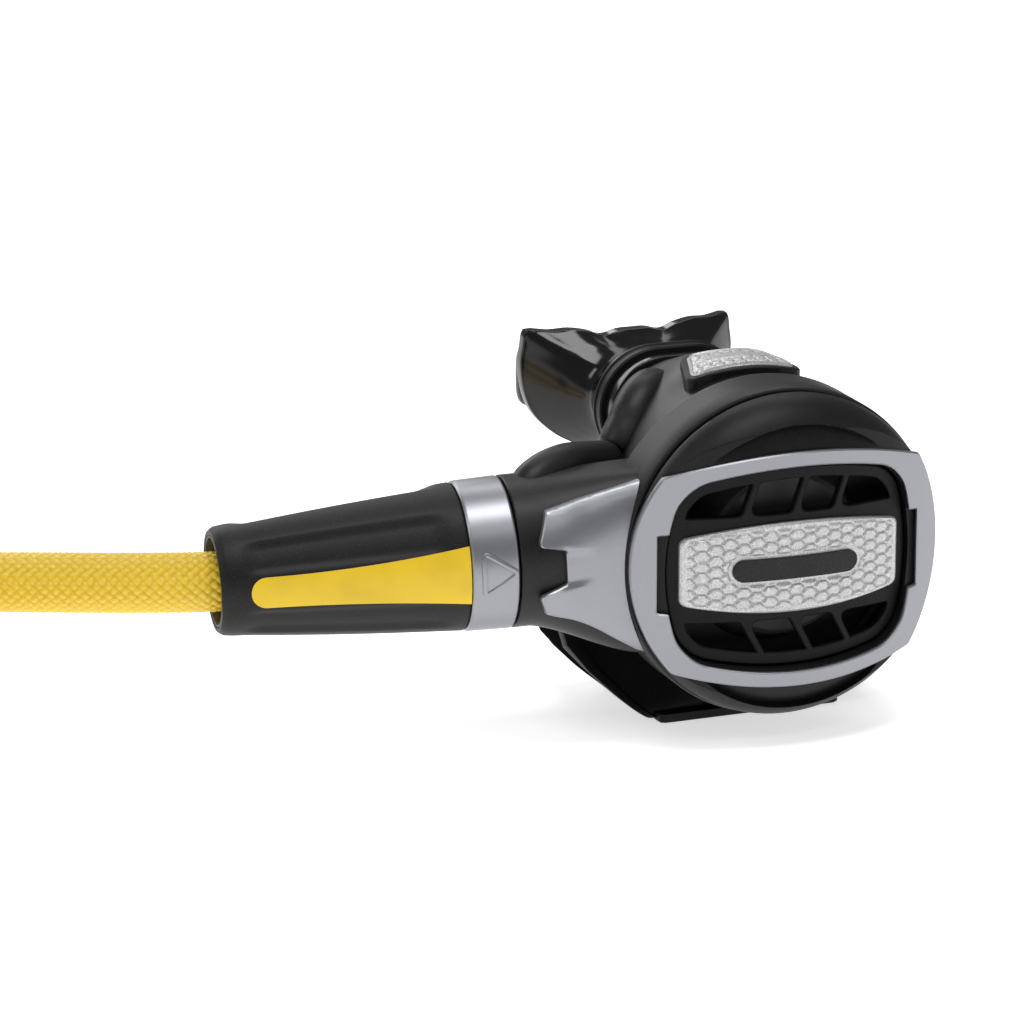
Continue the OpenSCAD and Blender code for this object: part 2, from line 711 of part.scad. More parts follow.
// Outer body of the tee, shrunk by g. Drawn in the housing's frame.
module tee_body(g) hull() {
    translate([-23 + g, 15 + g, -42.3 + g]) cube([46 - 2 * g, 30 - 2 * g, 1]);
    translate([-30 + g, 15 + g, -33]) cube([60 - 2 * g, 6, 2]);
    translate([-39 + g, 34, -27 + g]) cube([78 - 2 * g, 15 - g, 5 - 2 * g]);
    translate([-17 + g, 44, -9]) cube([34 - 2 * g, 9 - g, 5 - g]);
}

module exhaust_tee() color(black) at_housing() difference() {
    union() {
        tee_body(0);
        // Flat foot that the regulator rests on.
        translate([-22, 16, -axis_height]) cube([44, 28, 1.4]);
    }
    difference() {
        tee_body(2.2);
        // Rib that joins the tee's front wall to its floor.
        translate([-1.2, 10, -60]) cube([2.4, 12, 40]);
    }
    dome(fit);
    translate([0, -1, 0]) rotate([-90, 0, 0])
        cylinder(r = housing_r + fit, h = rim_depth + 1 + fit, $fn = 2 * fine);
    // Outlets at both ends.
    for (side = [-1, 1]) translate([side * 36, 40.5, -30.5]) cube([26, 12, 9], center = true);
}

// Spoked seat pressed into the housing's exhaust port.
module exhaust_seat() color(black) at_exhaust() difference() {
    translate([0, 0, -2.4]) cylinder(r = 15.5, h = 2.8, $fn = fine);
    translate([0, 0, -3]) cylinder(r = 1.75, h = 5, $fn = fine);
    for (i = [0 : 5]) rotate([0, 0, 60 * i]) translate([0, 0, -3]) linear_extrude(5) polygon([
        [4.4, -1.6], [11.6, -5.2], [12.4, 0], [11.6, 5.2], [4.4, 1.6]
    ]);
}

// One-way flap with its barbed stem.
module exhaust_valve() color(rubber) at_exhaust() spun([
    [0, -5.6], [1.2, -5.6], [2.4, -4.6], [2.4, -4.2], [1.6, -4.2], [1.6, 0.5], [13.2, 0.5],
    [13.4, 0.8], [4, 1.4], [0, 1.6]
]);

// Mouthpiece -------------------------------------------------------------------------------

mouth_front = 56.8;
flange_y = 88;

// A thin oval slab of width w and height h at depth y and height z, for lofting.
module slab(y, z, w, h) translate([0, y, z]) rotate([-90, 0, 0]) scale([w / 2, h / 2, 1])
    cylinder(r = 1, h = 0.6, $fn = 2 * coarse);

module mouthpiece() color(gloss_black) at_housing() difference() {
    union() {
        // Sleeve over the housing's neck.
        translate([0, 0, neck_rise]) facing(mouth_front, 12.5) oval(neck_w, neck_h);
        hull() {
            slab(69, neck_rise, neck_w, neck_h);
            slab(78, 17.5, 30, 19);
        }
        hull() {
            slab(78, 17.5, 30, 19);
            slab(flange_y - 1, 17, 38, 21);
        }
        // Curved lip shield.
        intersection() {
            facing(flange_y - 10, 20) translate([0, 17]) offset(r = 9) square([flange_w - 18, flange_h - 18], center = true);
            translate([0, flange_y + 60, -40]) difference() {
                cylinder(r = 61.6, h = 110, $fn = 4 * fine);
                translate([0, 0, -1]) cylinder(r = 59, h = 112, $fn = 4 * fine);
            }
        }
        // Bite tabs.
        for (side = [-1, 1]) translate([side * 18.5, flange_y + 9, 17]) {
            cube([3.4, 22, 13], center = true);
            translate([side * 0.9, 9.6, 0]) cube([5.2, 2.8, 15], center = true);
        }
    }
    translate([0, 0, neck_rise]) facing(mouth_front - 1, 12.2) oval(neck_w - 4.1, neck_h - 4.1);
    hull() {
        slab(67, neck_rise, neck_w - 5, neck_h - 5);
        slab(78, 17.5, 25, 14);
    }
    hull() {
        slab(78, 17.5, 25, 14);
        slab(flange_y + 3, 17, 27, 13.6);
    }
}

// Tie that holds the mouthpiece on its neck, with its buckle underneath.
module mouthpiece_clamp() color(black) at_housing() translate([0, 0, neck_rise]) {
    difference() {
        facing(61, 4.6) oval(neck_w + 2.6, neck_h + 2.6);
        facing(60, 6.6) oval(neck_w + 2 * fit, neck_h + 2 * fit);
    }
    translate([-3, 60.6, -neck_h / 2 - 4.2]) cube([6, 5.4, 3]);
}

housing();
bypass_tube();
fork_trim();
top_badge();
cover_ring();
face_ring();
purge_grille();
purge_badge();
purge_emblem();
purge_springs();
diaphragm();
diaphragm_disc();
diaphragm_ring();
demand_lever();
valve_tube();
poppet();
poppet_pad();
poppet_spring();
lever_washer();
poppet_nut();
orifice();
orifice_oring();
inlet_nut();
selector_ring();
selector_grip();
grip_inlay();
grip_liner();
mode_shutter();
shutter_oring();
hose_nut();
hose_stem();
hose_oring();
hose_ferrule();
hose_tube();
hose_coil();
hose_tail();
lp_ferrule();
lp_fitting();
lp_oring();
exhaust_tee();
exhaust_seat();
exhaust_valve();
mouthpiece();
mouthpiece_clamp();
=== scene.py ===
"""Finished look of a scuba second stage and its braided hose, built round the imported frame.

Lengths inside the classes are millimetres. Most are in the housing's frame: X along the face,
Y back from the cover joint and Z up, with the origin on the housing's axis. `Frame.place` turns
them into metres in the shared frame.
"""
import json
import logging
import math
from dataclasses import dataclass, field
from enum import Enum
from typing import Any, Callable, Iterable, Sequence

import bmesh
import bpy
import numpy as np
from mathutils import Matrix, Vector
from mathutils.bvhtree import BVHTree


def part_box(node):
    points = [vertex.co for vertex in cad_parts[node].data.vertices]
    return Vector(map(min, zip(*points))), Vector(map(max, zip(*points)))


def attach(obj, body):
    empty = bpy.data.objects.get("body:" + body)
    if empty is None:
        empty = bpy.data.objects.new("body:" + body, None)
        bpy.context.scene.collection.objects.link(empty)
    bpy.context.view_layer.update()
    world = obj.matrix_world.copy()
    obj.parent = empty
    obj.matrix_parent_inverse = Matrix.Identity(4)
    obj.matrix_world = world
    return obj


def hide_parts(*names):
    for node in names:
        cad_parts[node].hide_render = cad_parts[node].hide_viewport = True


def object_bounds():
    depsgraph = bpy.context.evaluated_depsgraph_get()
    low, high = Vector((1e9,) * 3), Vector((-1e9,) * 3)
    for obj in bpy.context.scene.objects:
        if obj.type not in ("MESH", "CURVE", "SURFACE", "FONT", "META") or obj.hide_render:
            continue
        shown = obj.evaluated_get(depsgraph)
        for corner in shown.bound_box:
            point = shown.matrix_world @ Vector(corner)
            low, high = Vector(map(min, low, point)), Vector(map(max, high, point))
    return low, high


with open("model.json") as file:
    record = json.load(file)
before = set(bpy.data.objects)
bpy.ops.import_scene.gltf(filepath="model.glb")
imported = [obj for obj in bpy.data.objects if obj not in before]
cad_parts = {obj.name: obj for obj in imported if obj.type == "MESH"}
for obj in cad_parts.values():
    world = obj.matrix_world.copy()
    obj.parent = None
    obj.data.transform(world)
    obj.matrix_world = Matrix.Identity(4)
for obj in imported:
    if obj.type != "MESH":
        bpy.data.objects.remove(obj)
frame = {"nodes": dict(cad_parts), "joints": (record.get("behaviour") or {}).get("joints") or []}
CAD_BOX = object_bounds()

MM = 0.001
SHARP = math.radians(32)
log = logging.getLogger("regulator")

Heights = Callable[[np.ndarray, np.ndarray], np.ndarray]


class Body(Enum):
    """The bodies that finished pieces ride on. CAD nodes that stay in sight ride on their own."""

    ROOT = "root"
    PURGE = "purge_button"
    SELECTOR = "selector"


class Slot(Enum):
    """The record's material slots, one named for each finished piece."""

    SHELL = "black_shell"
    TRIM = "black_trim"
    GRIP = "grip_black"
    SILVER = "silver_trim"
    BADGE = "badge_silver"
    EMBLEM = "dark_emblem"
    INLAY = "yellow_inlay"
    LINER = "liner_grey"
    MOUTH = "mouth_silicone"
    BRAID = "yellow_braid"


# Frames ---------------------------------------------------------------------------------------


@dataclass(frozen=True)
class Frame:
    """A local frame in the shared one.

    Attributes:
        origin: Its origin in millimetres.
        axes: Rows that hold its X, Y and Z directions.
    """

    origin: np.ndarray
    axes: np.ndarray

    def place(self, points: np.ndarray) -> np.ndarray:
        """Turns local millimetres into metres in the shared frame."""
        return (self.origin + np.asarray(points, float) @ self.axes) * MM

    def within(self, points: np.ndarray, outer: "Frame") -> np.ndarray:
        """Turns this frame's millimetres into another frame's millimetres."""
        return (self.place(points) / MM - outer.origin) @ outer.axes.T


def housing_frame() -> Frame:
    """The housing's frame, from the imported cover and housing.

    Returns:
        The frame.
    """
    low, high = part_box("cover_ring")
    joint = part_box("housing")[0]
    origin = np.array([0.0, joint.y, (low.z + high.z) / 2]) / MM
    return Frame(origin, np.eye(3))


def barrel_frame() -> Frame:
    """The valve barrel's frame: Z runs out along it, X is nearly up and Y nearly back.

    Returns:
        The frame.
    """
    turn = next(j for j in frame["joints"] if j["name"] == "selector_turn")
    out = np.array(turn["axis"], float)
    out /= np.linalg.norm(out)
    back = np.cross(out, [0.0, 0.0, 1.0])
    back /= np.linalg.norm(back)
    return Frame(np.array(turn["pos_m"], float) / MM, np.array([np.cross(back, out), back, out]))


HOUSING = housing_frame()
BARREL = barrel_frame()


# Shapes ---------------------------------------------------------------------------------------


@dataclass
class Solid:
    """A closed surface in a local frame, in millimetres."""

    points: np.ndarray
    faces: list[tuple[int, ...]]

    def bent(self, front: Heights) -> "Solid":
        """Moves each point back by front(x, z).

        Args:
            front: How far back the surface lies at each x and z.

        Returns:
            The bent solid.
        """
        points = self.points.copy()
        points[:, 1] += front(points[:, 0], points[:, 2])
        return Solid(points, self.faces)

    def plus(self, other: "Solid") -> "Solid":
        """Returns both solids as one.

        Args:
            other: The solid to add.

        Returns:
            The two as one.
        """
        shift = len(self.points)
        faces = self.faces + [tuple(i + shift for i in f) for f in other.faces]
        return Solid(np.vstack([self.points, other.points]), faces)


def smoothstep(low: float, high: float, value: np.ndarray) -> np.ndarray:
    """Rises smoothly from 0 at low to 1 at high."""
    t = np.clip((np.asarray(value, float) - low) / (high - low), 0, 1)
    return t * t * (3 - 2 * t)


def smooth_path(points: Sequence[Sequence[float]], count: int, closed: bool = False) -> np.ndarray:
    """A smooth curve through points.

    Args:
        points: The points it passes through, of any dimension.
        count: How many points to return.
        closed: Whether the curve joins its own start.

    Returns:
        The curve's points.
    """
    p = np.asarray(points, float)
    if closed:
        p = np.vstack([p[-1], p, p[0], p[1]])
    else:
        p = np.vstack([2 * p[0] - p[1], p, 2 * p[-1] - p[-2]])
    spans = len(p) - 3
    t = np.linspace(0, spans, count, endpoint=not closed)
    i = np.minimum(t.astype(int), spans - 1)
    f = (t - i)[:, None]
    a, b, c, d = p[i], p[i + 1], p[i + 2], p[i + 3]
    return 0.5 * (2 * b + (c - a) * f + (2 * a - 5 * b + 4 * c - d) * f**2 + (3 * b - a - 3 * c + d) * f**3)


def loft(rings: np.ndarray, loop: bool = False) -> Solid:
    """Joins rings of equally many points.

    Args:
        rings: Array of rings by points by three.
        loop: Whether the last ring joins the first, in place of two caps.

    Returns:
        The closed solid.
    """
    n, m, _ = rings.shape
    faces: list[tuple[int, ...]] = []
    for i in range(n if loop else n - 1):
        a, b = i * m, (i + 1) % n * m
        faces += [(a + j, a + (j + 1) % m, b + (j + 1) % m, b + j) for j in range(m)]
    if not loop:
        faces += [tuple(range(m - 1, -1, -1)), tuple((n - 1) * m + j for j in range(m))]
    return Solid(rings.reshape(-1, 3), faces)


def circle(count: int) -> np.ndarray:
    """Evenly spaced angles of one turn, in radians."""
    return np.linspace(0, 2 * math.pi, count, endpoint=False)


def turned(profile: Sequence[Sequence[float]], count: int = 144) -> Solid:
    """Turns a closed profile about local Z.

    Args:
        profile: Its corners as (radius, z).
        count: Points round the turn.

    Returns:
        The closed solid.
    """
    a = circle(count)
    rings = [np.stack([r * np.cos(a), r * np.sin(a), np.full(count, s)], 1) for r, s in profile]
    return loft(np.array(rings), loop=True)


def swept(path: np.ndarray, radius: np.ndarray, sides: int) -> Solid:
    """Sweeps a round section along a path.

    Args:
        path: Points along the middle.
        radius: The radius at each point.
        sides: How many points each ring has.

    Returns:
        The closed solid.
    """
    return loft(swept_rings(path, np.asarray(radius)[:, None], circle(sides)))


def swept_rings(path: np.ndarray, radius: np.ndarray, angles: np.ndarray) -> np.ndarray:
    """Rings of points round a path, with no twist between them.

    Args:
        path: Points along the middle.
        radius: Radii, one row for each point of the path.
        angles: Angles of each ring's points.

    Returns:
        The rings.
    """
    ahead = np.gradient(path, axis=0)
    ahead /= np.linalg.norm(ahead, axis=1)[:, None]
    side = np.cross(ahead[0], [0.0, 0.0, 1.0])
    rings = []
    for p, t, r in zip(path, ahead, radius):
        side = side - t * (side @ t)
        side /= np.linalg.norm(side)
        up = np.cross(t, side)
        reach = np.broadcast_to(r, angles.shape)[:, None]
        rings.append(p + reach * (np.cos(angles)[:, None] * side + np.sin(angles)[:, None] * up))
    return np.array(rings)


def plate(outline: np.ndarray, holes: Iterable[np.ndarray], depth: float, chamfer: float,
          step_x: float, step_z: float = 0.0) -> Solid:
    """A flat plate with chamfered edges and a front face at y = 0.

    Args:
        outline: The outer edge as (x, z) points.
        holes: The edges of its holes.
        depth: Its thickness.
        chamfer: The size of the chamfers.
        step_x: Spacing of the cuts along X, which let it bend.
        step_z: Spacing of the cuts along Z, or 0 for none.

    Returns:
        The solid.
    """
    curve = bpy.data.curves.new("plate", "CURVE")
    curve.dimensions = "2D"
    curve.fill_mode = "BOTH"
    curve.extrude = depth / 2 - chamfer
    curve.bevel_depth = chamfer
    curve.bevel_resolution = 0
    curve.offset = -chamfer
    for edge in (outline, *holes):
        spline = curve.splines.new("POLY")
        spline.points.add(len(edge) - 1)
        flat = np.column_stack([edge, np.zeros(len(edge)), np.ones(len(edge))])
        spline.points.foreach_set("co", flat.ravel())
        spline.use_cyclic_u = True
    holder = bpy.data.objects.new("plate", curve)
    mesh = bpy.data.meshes.new_from_object(holder)
    work = bmesh.new()
    work.from_mesh(mesh)
    bpy.data.objects.remove(holder)
    bpy.data.curves.remove(curve)
    bpy.data.meshes.remove(mesh)
    bmesh.ops.remove_doubles(work, verts=work.verts, dist=1e-4)
    low, high = outline.min(0), outline.max(0)
    for axis, step in ((0, step_x), (1, step_z)):
        cuts = np.arange(low[axis] + step, high[axis], step) if step else []
        for at in cuts:
            normal = (1.0, 0.0, 0.0) if axis == 0 else (0.0, 1.0, 0.0)
            point = (at, 0.0, 0.0) if axis == 0 else (0.0, at, 0.0)
            geometry = work.verts[:] + work.edges[:] + work.faces[:]
            bmesh.ops.bisect_plane(work, geom=geometry, plane_co=point, plane_no=normal, dist=1e-5)
    bmesh.ops.triangulate(work, faces=[f for f in work.faces if len(f.verts) > 4])
    work.verts.index_update()
    co = np.array([v.co[:] for v in work.verts])
    faces = [tuple(v.index for v in f.verts) for f in work.faces]
    work.free()
    return Solid(np.column_stack([co[:, 0], depth / 2 - co[:, 2], co[:, 1]]), faces)


def rounded(corners: Sequence[Sequence[float]], radius: float, steps: int = 6) -> np.ndarray:
    """Rounds the corners of a polygon.

    Args:
        corners: Its corners in order.
        radius: The fillet radius, made smaller where an edge is short.
        steps: Points along each fillet.

    Returns:
        The rounded outline.
    """
    p = np.asarray(corners, float)
    out = []
    for i, corner in enumerate(p):
        to_last, to_next = p[i - 1] - corner, p[(i + 1) % len(p)] - corner
        la, lb = np.linalg.norm(to_last), np.linalg.norm(to_next)
        u, v = to_last / la, to_next / lb
        half = math.acos(max(-1.0, min(1.0, float(u @ v)))) / 2
        if half > math.pi / 2 - 0.06:
            out.append(corner)
            continue
        reach = min(radius / math.tan(half), 0.45 * la, 0.45 * lb)
        start, end = corner + u * reach, corner + v * reach
        t = np.linspace(0, 1, steps)[:, None]
        out.extend((1 - t) ** 2 * start + 2 * t * (1 - t) * corner + t**2 * end)
    return np.array(out)


def clipped(outline: np.ndarray, normal: Sequence[float], limit: float) -> np.ndarray:
    """Keeps the part of a convex outline whose points p have p . normal <= limit.

    Args:
        outline: The outline's points.
        normal: Direction that is cut away.
        limit: Where the cut lies.

    Returns:
        The clipped outline.
    """
    kept = []
    depth = outline @ np.asarray(normal, float) - limit
    for i, (p, d) in enumerate(zip(outline, depth)):
        q, e = outline[(i + 1) % len(outline)], depth[(i + 1) % len(outline)]
        if d <= 0:
            kept.append(p)
        if (d < 0 < e) or (e < 0 < d):
            kept.append(p + (q - p) * d / (d - e))
    apart = [p for i, p in enumerate(kept) if np.linalg.norm(p - kept[i - 1]) > 0.05]
    return np.array(apart)


def polar(outline: np.ndarray, angles: np.ndarray, centre: Sequence[float] = (0.0, 0.0)) -> np.ndarray:
    """Distance from a centre to a star-shaped outline, at each angle.

    Args:
        outline: The outline's points.
        angles: The angles, in radians.
        centre: The centre.

    Returns:
        The distances, 0 where a ray meets nothing.
    """
    p = outline - np.asarray(centre)
    q = np.roll(p, -1, 0)
    d = np.stack([np.cos(angles), np.sin(angles)], 1)[:, None, :]
    edge = (q - p)[None]
    cross = d[..., 0] * edge[..., 1] - d[..., 1] * edge[..., 0]
    safe = np.where(np.abs(cross) < 1e-12, 1e-12, cross)
    along = (p[None, :, 0] * edge[..., 1] - p[None, :, 1] * edge[..., 0]) / safe
    share = (p[None, :, 0] * d[..., 1] - p[None, :, 1] * d[..., 0]) / safe
    hit = (share >= -1e-9) & (share <= 1 + 1e-9) & (along > 0)
    return np.where(hit, along, 0).max(1)


def pad(outline: np.ndarray, centre: Sequence[float], depth: float, chamfer: float,
        cells: tuple[int, int], relief: Heights) -> Solid:
    """A plate whose front carries a relief, built on a grid that follows its outline.

    Args:
        outline: Its edge as (x, z) points.
        centre: A point that sees the whole outline.
        depth: Its thickness.
        chamfer: The size of its front chamfer.
        cells: Grid cells along X and along Z.
        relief: How far the front stands out at each x and z.

    Returns:
        The solid, with its front near y = 0.
    """
    u, v = np.meshgrid(np.linspace(-1, 1, cells[0] + 1), np.linspace(-1, 1, cells[1] + 1), indexing="ij")
    half = (outline.max(0) - outline.min(0)) / 2
    angle = np.arctan2(v * half[1], u * half[0])
    rho = np.maximum(np.abs(u), np.abs(v))
    reach = polar(outline, angle.ravel(), centre).reshape(angle.shape)
    inner = reach - chamfer
    x = centre[0] + rho * inner * np.cos(angle)
    z = centre[1] + rho * inner * np.sin(angle)
    top = np.stack([x, -relief(x, z) * (rho < 0.999), z], -1)
    points = [top.reshape(-1, 3)]
    n, m = u.shape
    faces = [(i * m + j, (i + 1) * m + j, (i + 1) * m + j + 1, i * m + j + 1)
             for i in range(n - 1) for j in range(m - 1)]
    border = [(i, 0) for i in range(n)] + [(n - 1, j) for j in range(1, m)]
    border += [(i, m - 1) for i in range(n - 2, -1, -1)] + [(0, j) for j in range(m - 2, 0, -1)]
    last = [i * m + j for i, j in border]
    rim = np.array([angle[i, j] for i, j in border])
    far = np.array([reach[i, j] for i, j in border])
    for y in (chamfer, depth):
        level = np.full(len(rim), y)
        ring = np.stack([centre[0] + far * np.cos(rim), level, centre[1] + far * np.sin(rim)], 1)
        base = sum(len(p) for p in points)
        points.append(ring)
        count = len(border)
        faces += [(last[k], base + k, base + (k + 1) % count, last[(k + 1) % count]) for k in range(count)]
        last = [base + k for k in range(count)]
    faces.append(tuple(last))
    return Solid(np.vstack(points), faces)


class Surface:
    """The outside of a solid, which other pieces are laid on."""

    def __init__(self, solid: Solid) -> None:
        """Keeps the solid for ray tests."""
        self.tree = BVHTree.FromPolygons([tuple(p) for p in solid.points], solid.faces)

    def hit(self, start: Sequence[float], direction: Sequence[float]) -> Vector:
        """The first point that a ray meets, or the nearest point where it meets none."""
        found = self.tree.ray_cast(Vector(start), Vector(direction))[0]
        return found if found is not None else self.tree.find_nearest(Vector(start))[0]

    def from_front(self, x: np.ndarray, z: np.ndarray) -> np.ndarray:
        """How far back the surface lies, seen from the front."""
        return np.array([self.hit((a, -60.0, b), (0, 1, 0)).y for a, b in zip(x, z)])


# Shader maths ---------------------------------------------------------------------------------


FACTOR, FIRST, SECOND, MIXED = 0, 6, 7, 2  # sockets of a colour's Mix node


class Socket:
    """A node's output, with arithmetic that adds Math nodes."""

    def __init__(self, shader: "Shader", out: bpy.types.NodeSocket) -> None:
        """Wraps one output of a shader's node."""
        self.shader = shader
        self.out = out

    def math(self, operation: str, *others: Any) -> "Socket":
        """Applies a Math node to this value and others."""
        return self.shader.node("ShaderNodeMath", {"operation": operation}, dict(enumerate((self, *others))))

    def __add__(self, other: Any) -> "Socket":
        """self + other."""
        return self.math("ADD", other)

    def __radd__(self, other: Any) -> "Socket":
        """other + self."""
        return self.math("ADD", other)

    def __sub__(self, other: Any) -> "Socket":
        """self - other."""
        return self.math("SUBTRACT", other)

    def __rsub__(self, other: Any) -> "Socket":
        """other - self."""
        return self.shader.node("ShaderNodeMath", {"operation": "SUBTRACT"}, {0: other, 1: self})

    def __mul__(self, other: Any) -> "Socket":
        """self * other."""
        return self.math("MULTIPLY", other)

    def __rmul__(self, other: Any) -> "Socket":
        """other * self."""
        return self.math("MULTIPLY", other)

    def rising(self, low: float, high: float) -> "Socket":
        """Rises smoothly from 0 at low to 1 at high."""
        settings = {"interpolation_type": "SMOOTHSTEP"}
        return self.shader.node("ShaderNodeMapRange", settings, {0: self, 1: low, 2: high})


class Shader:
    """One material's nodes."""

    def __init__(self, name: str) -> None:
        """Starts a material of that name.

        Args:
            name: The material's name.
        """
        self.material = bpy.data.materials.new(name)
        self.material.use_nodes = True
        self.tree = self.material.node_tree
        self.tree.nodes.clear()

    def node(self, kind: str, settings: dict[str, Any] | None = None,
             values: dict[Any, Any] | None = None, output: Any = 0) -> Socket:
        """Adds a node.

        Args:
            kind: Its type.
            settings: Properties that are set first.
            values: Values or links of its sockets, by name or number.
            output: The output to return.

        Returns:
            The output as a Socket.
        """
        made = self.tree.nodes.new(kind)
        for key, value in (settings or {}).items():
            setattr(made, key, value)
        for key, value in (values or {}).items():
            if isinstance(value, Socket):
                self.tree.links.new(value.out, made.inputs[key])
            else:
                made.inputs[key].default_value = value
        return Socket(self, made.outputs[output])

    def place(self) -> Socket:
        """Where a point lies in the shared frame, in metres."""
        return self.node("ShaderNodeTexCoord", output="Object")

    def noise(self, size: float, detail: float = 2.0) -> Socket:
        """Noise whose grains measure size millimetres."""
        values = {"Vector": self.place(), "Scale": 1 / (size * MM), "Detail": detail}
        return self.node("ShaderNodeTexNoise", {}, values)

    def mix(self, factor: Any, first: Any, second: Any) -> Socket:
        """Mixes two colours by a factor."""
        values = {FACTOR: factor, FIRST: first, SECOND: second}
        return self.node("ShaderNodeMix", {"data_type": "RGBA"}, values, MIXED)

    def bump(self, height: Socket, depth: float, strength: float) -> Socket:
        """A bumped normal, with a depth in millimetres."""
        values = {"Height": height, "Distance": depth * MM, "Strength": strength}
        return self.node("ShaderNodeBump", {}, values)

    def close(self, values: dict[str, Any]) -> bpy.types.Material:
        """Ends the material in a Principled shader with these inputs.

        Args:
            values: Values or links of its sockets.

        Returns:
            The material.
        """
        surface = self.node("ShaderNodeBsdfPrincipled", {}, values)
        end = self.tree.nodes.new("ShaderNodeOutputMaterial")
        self.tree.links.new(surface.out, end.inputs["Surface"])
        return self.material


Colour = tuple[float, float, float, float]


def grey(value: float, warm: float = 0.0) -> Colour:
    """A grey, a little warm or cool."""
    return (value * (1 + warm), value, value * (1 - warm), 1.0)


class Finish:
    """A surface finish that makes its material once."""

    name: str
    made: dict[str, bpy.types.Material] = {}

    def material(self) -> bpy.types.Material:
        """The finish's material, made at first use.

        Returns:
            The material.
        """
        if self.name not in Finish.made:
            Finish.made[self.name] = self.build(Shader(self.name))
        return Finish.made[self.name]

    def build(self, shader: Shader) -> bpy.types.Material:
        """Makes the material."""
        raise NotImplementedError


@dataclass(frozen=True)
class Moulding(Finish):
    """Moulded polymer with a spark-eroded grain and faint polish on worn spots.

    Attributes:
        name: The material's name.
        colour: Its colour.
        roughness: Its mean roughness.
        grain: Size of a grain in millimetres.
        depth: Depth of the grain in millimetres.
        specks: How much paler the high grains are.
        gloss: How strongly the surface mirrors.
    """

    name: str
    colour: Colour
    roughness: float
    grain: float = 0.28
    depth: float = 0.03
    specks: float = 0.5
    gloss: float = 0.2

    def build(self, shader: Shader) -> bpy.types.Material:
        """Makes the material.

        Args:
            shader: The material's nodes.

        Returns:
            The material.
        """
        fine = shader.noise(self.grain, 3.0)
        broad = shader.noise(9.0, 2.0)
        paler = tuple(min(1.0, c * (1 + self.specks) + 0.004) for c in self.colour[:3]) + (1.0,)
        darker = tuple(c * 0.82 for c in self.colour[:3]) + (1.0,)
        body = shader.mix(broad.rising(0.35, 0.65), darker, self.colour)
        colour = shader.mix(fine.rising(0.52, 0.74), body, paler)
        rough = self.roughness - 0.05 + 0.06 * broad + 0.05 * fine
        return shader.close({
            "Base Color": colour,
            "Roughness": rough,
            "Normal": shader.bump(fine, self.depth, 0.6),
            "Specular IOR Level": self.gloss,
        })


@dataclass(frozen=True)
class SatinSilver(Finish):
    """Satin metallic paint over a moulding, with a very fine metal flake."""

    name: str = "satin_silver_paint"
    colour: Colour = (0.29, 0.298, 0.32, 1.0)
    roughness: float = 0.36

    def build(self, shader: Shader) -> bpy.types.Material:
        """Makes the material.

        Args:
            shader: The material's nodes.

        Returns:
            The material.
        """
        flake = shader.noise(0.12, 1.0)
        cloud = shader.noise(14.0, 2.0)
        brighter = tuple(min(1.0, c * 1.12) for c in self.colour[:3]) + (1.0,)
        colour = shader.mix(flake.rising(0.4, 0.75), self.colour, brighter)
        return shader.close({
            "Base Color": colour,
            "Metallic": 0.82,
            "Roughness": self.roughness - 0.03 + 0.05 * cloud + 0.03 * flake,
            "Normal": shader.bump(flake, 0.006, 0.5),
        })


@dataclass(frozen=True)
class SandedSilver(Finish):
    """Cast silver with a sanded, sparkling face."""

    name: str = "sanded_silver"
    colour: Colour = (0.62, 0.62, 0.62, 1.0)

    def build(self, shader: Shader) -> bpy.types.Material:
        """Makes the material.

        Args:
            shader: The material's nodes.

        Returns:
            The material.
        """
        sand = shader.noise(0.34, 4.0)
        sparkle = shader.noise(0.16, 1.0)
        dark = tuple(c * 0.62 for c in self.colour[:3]) + (1.0,)
        bright = tuple(min(1.0, c * 1.35) for c in self.colour[:3]) + (1.0,)
        body = shader.mix(sand.rising(0.3, 0.7), dark, self.colour)
        colour = shader.mix(sparkle.rising(0.5, 0.72), body, bright)
        return shader.close({
            "Base Color": colour,
            "Metallic": 0.55,
            "Roughness": 0.5 - 0.18 * sparkle,
            "Normal": shader.bump(sand, 0.09, 0.8),
        })


@dataclass(frozen=True)
class Silicone(Finish):
    """Moulded silicone or rubber.

    Attributes:
        name: The material's name.
        colour: Its colour.
        roughness: Its roughness.
        gloss: How strongly the surface mirrors.
    """

    name: str
    colour: Colour
    roughness: float
    gloss: float = 0.3

    def build(self, shader: Shader) -> bpy.types.Material:
        """Makes the material.

        Args:
            shader: The material's nodes.

        Returns:
            The material.
        """
        skin = shader.noise(2.2, 3.0)
        dust = shader.noise(0.5, 4.0)
        paler = tuple(c * 1.6 + 0.003 for c in self.colour[:3]) + (1.0,)
        return shader.close({
            "Base Color": shader.mix(dust.rising(0.62, 0.8), self.colour, paler),
            "Roughness": self.roughness + 0.05 * skin,
            "Normal": shader.bump(skin, 0.03, 0.25),
            "Specular IOR Level": self.gloss,
        })


@dataclass(frozen=True)
class Machined(Finish):
    """Machined metal with fine tool marks and light stains.

    Attributes:
        name: The material's name.
        colour: Its colour.
        roughness: Its roughness.
    """

    name: str
    colour: Colour
    roughness: float = 0.28

    def build(self, shader: Shader) -> bpy.types.Material:
        """Makes the material.

        Args:
            shader: The material's nodes.

        Returns:
            The material.
        """
        marks = shader.noise(0.18, 2.0)
        stain = shader.noise(5.0, 3.0)
        dull = tuple(c * 0.7 for c in self.colour[:3]) + (1.0,)
        return shader.close({
            "Base Color": shader.mix(stain.rising(0.45, 0.75), self.colour, dull),
            "Metallic": 1.0,
            "Roughness": self.roughness + 0.12 * stain,
            "Normal": shader.bump(marks, 0.01, 0.4),
        })


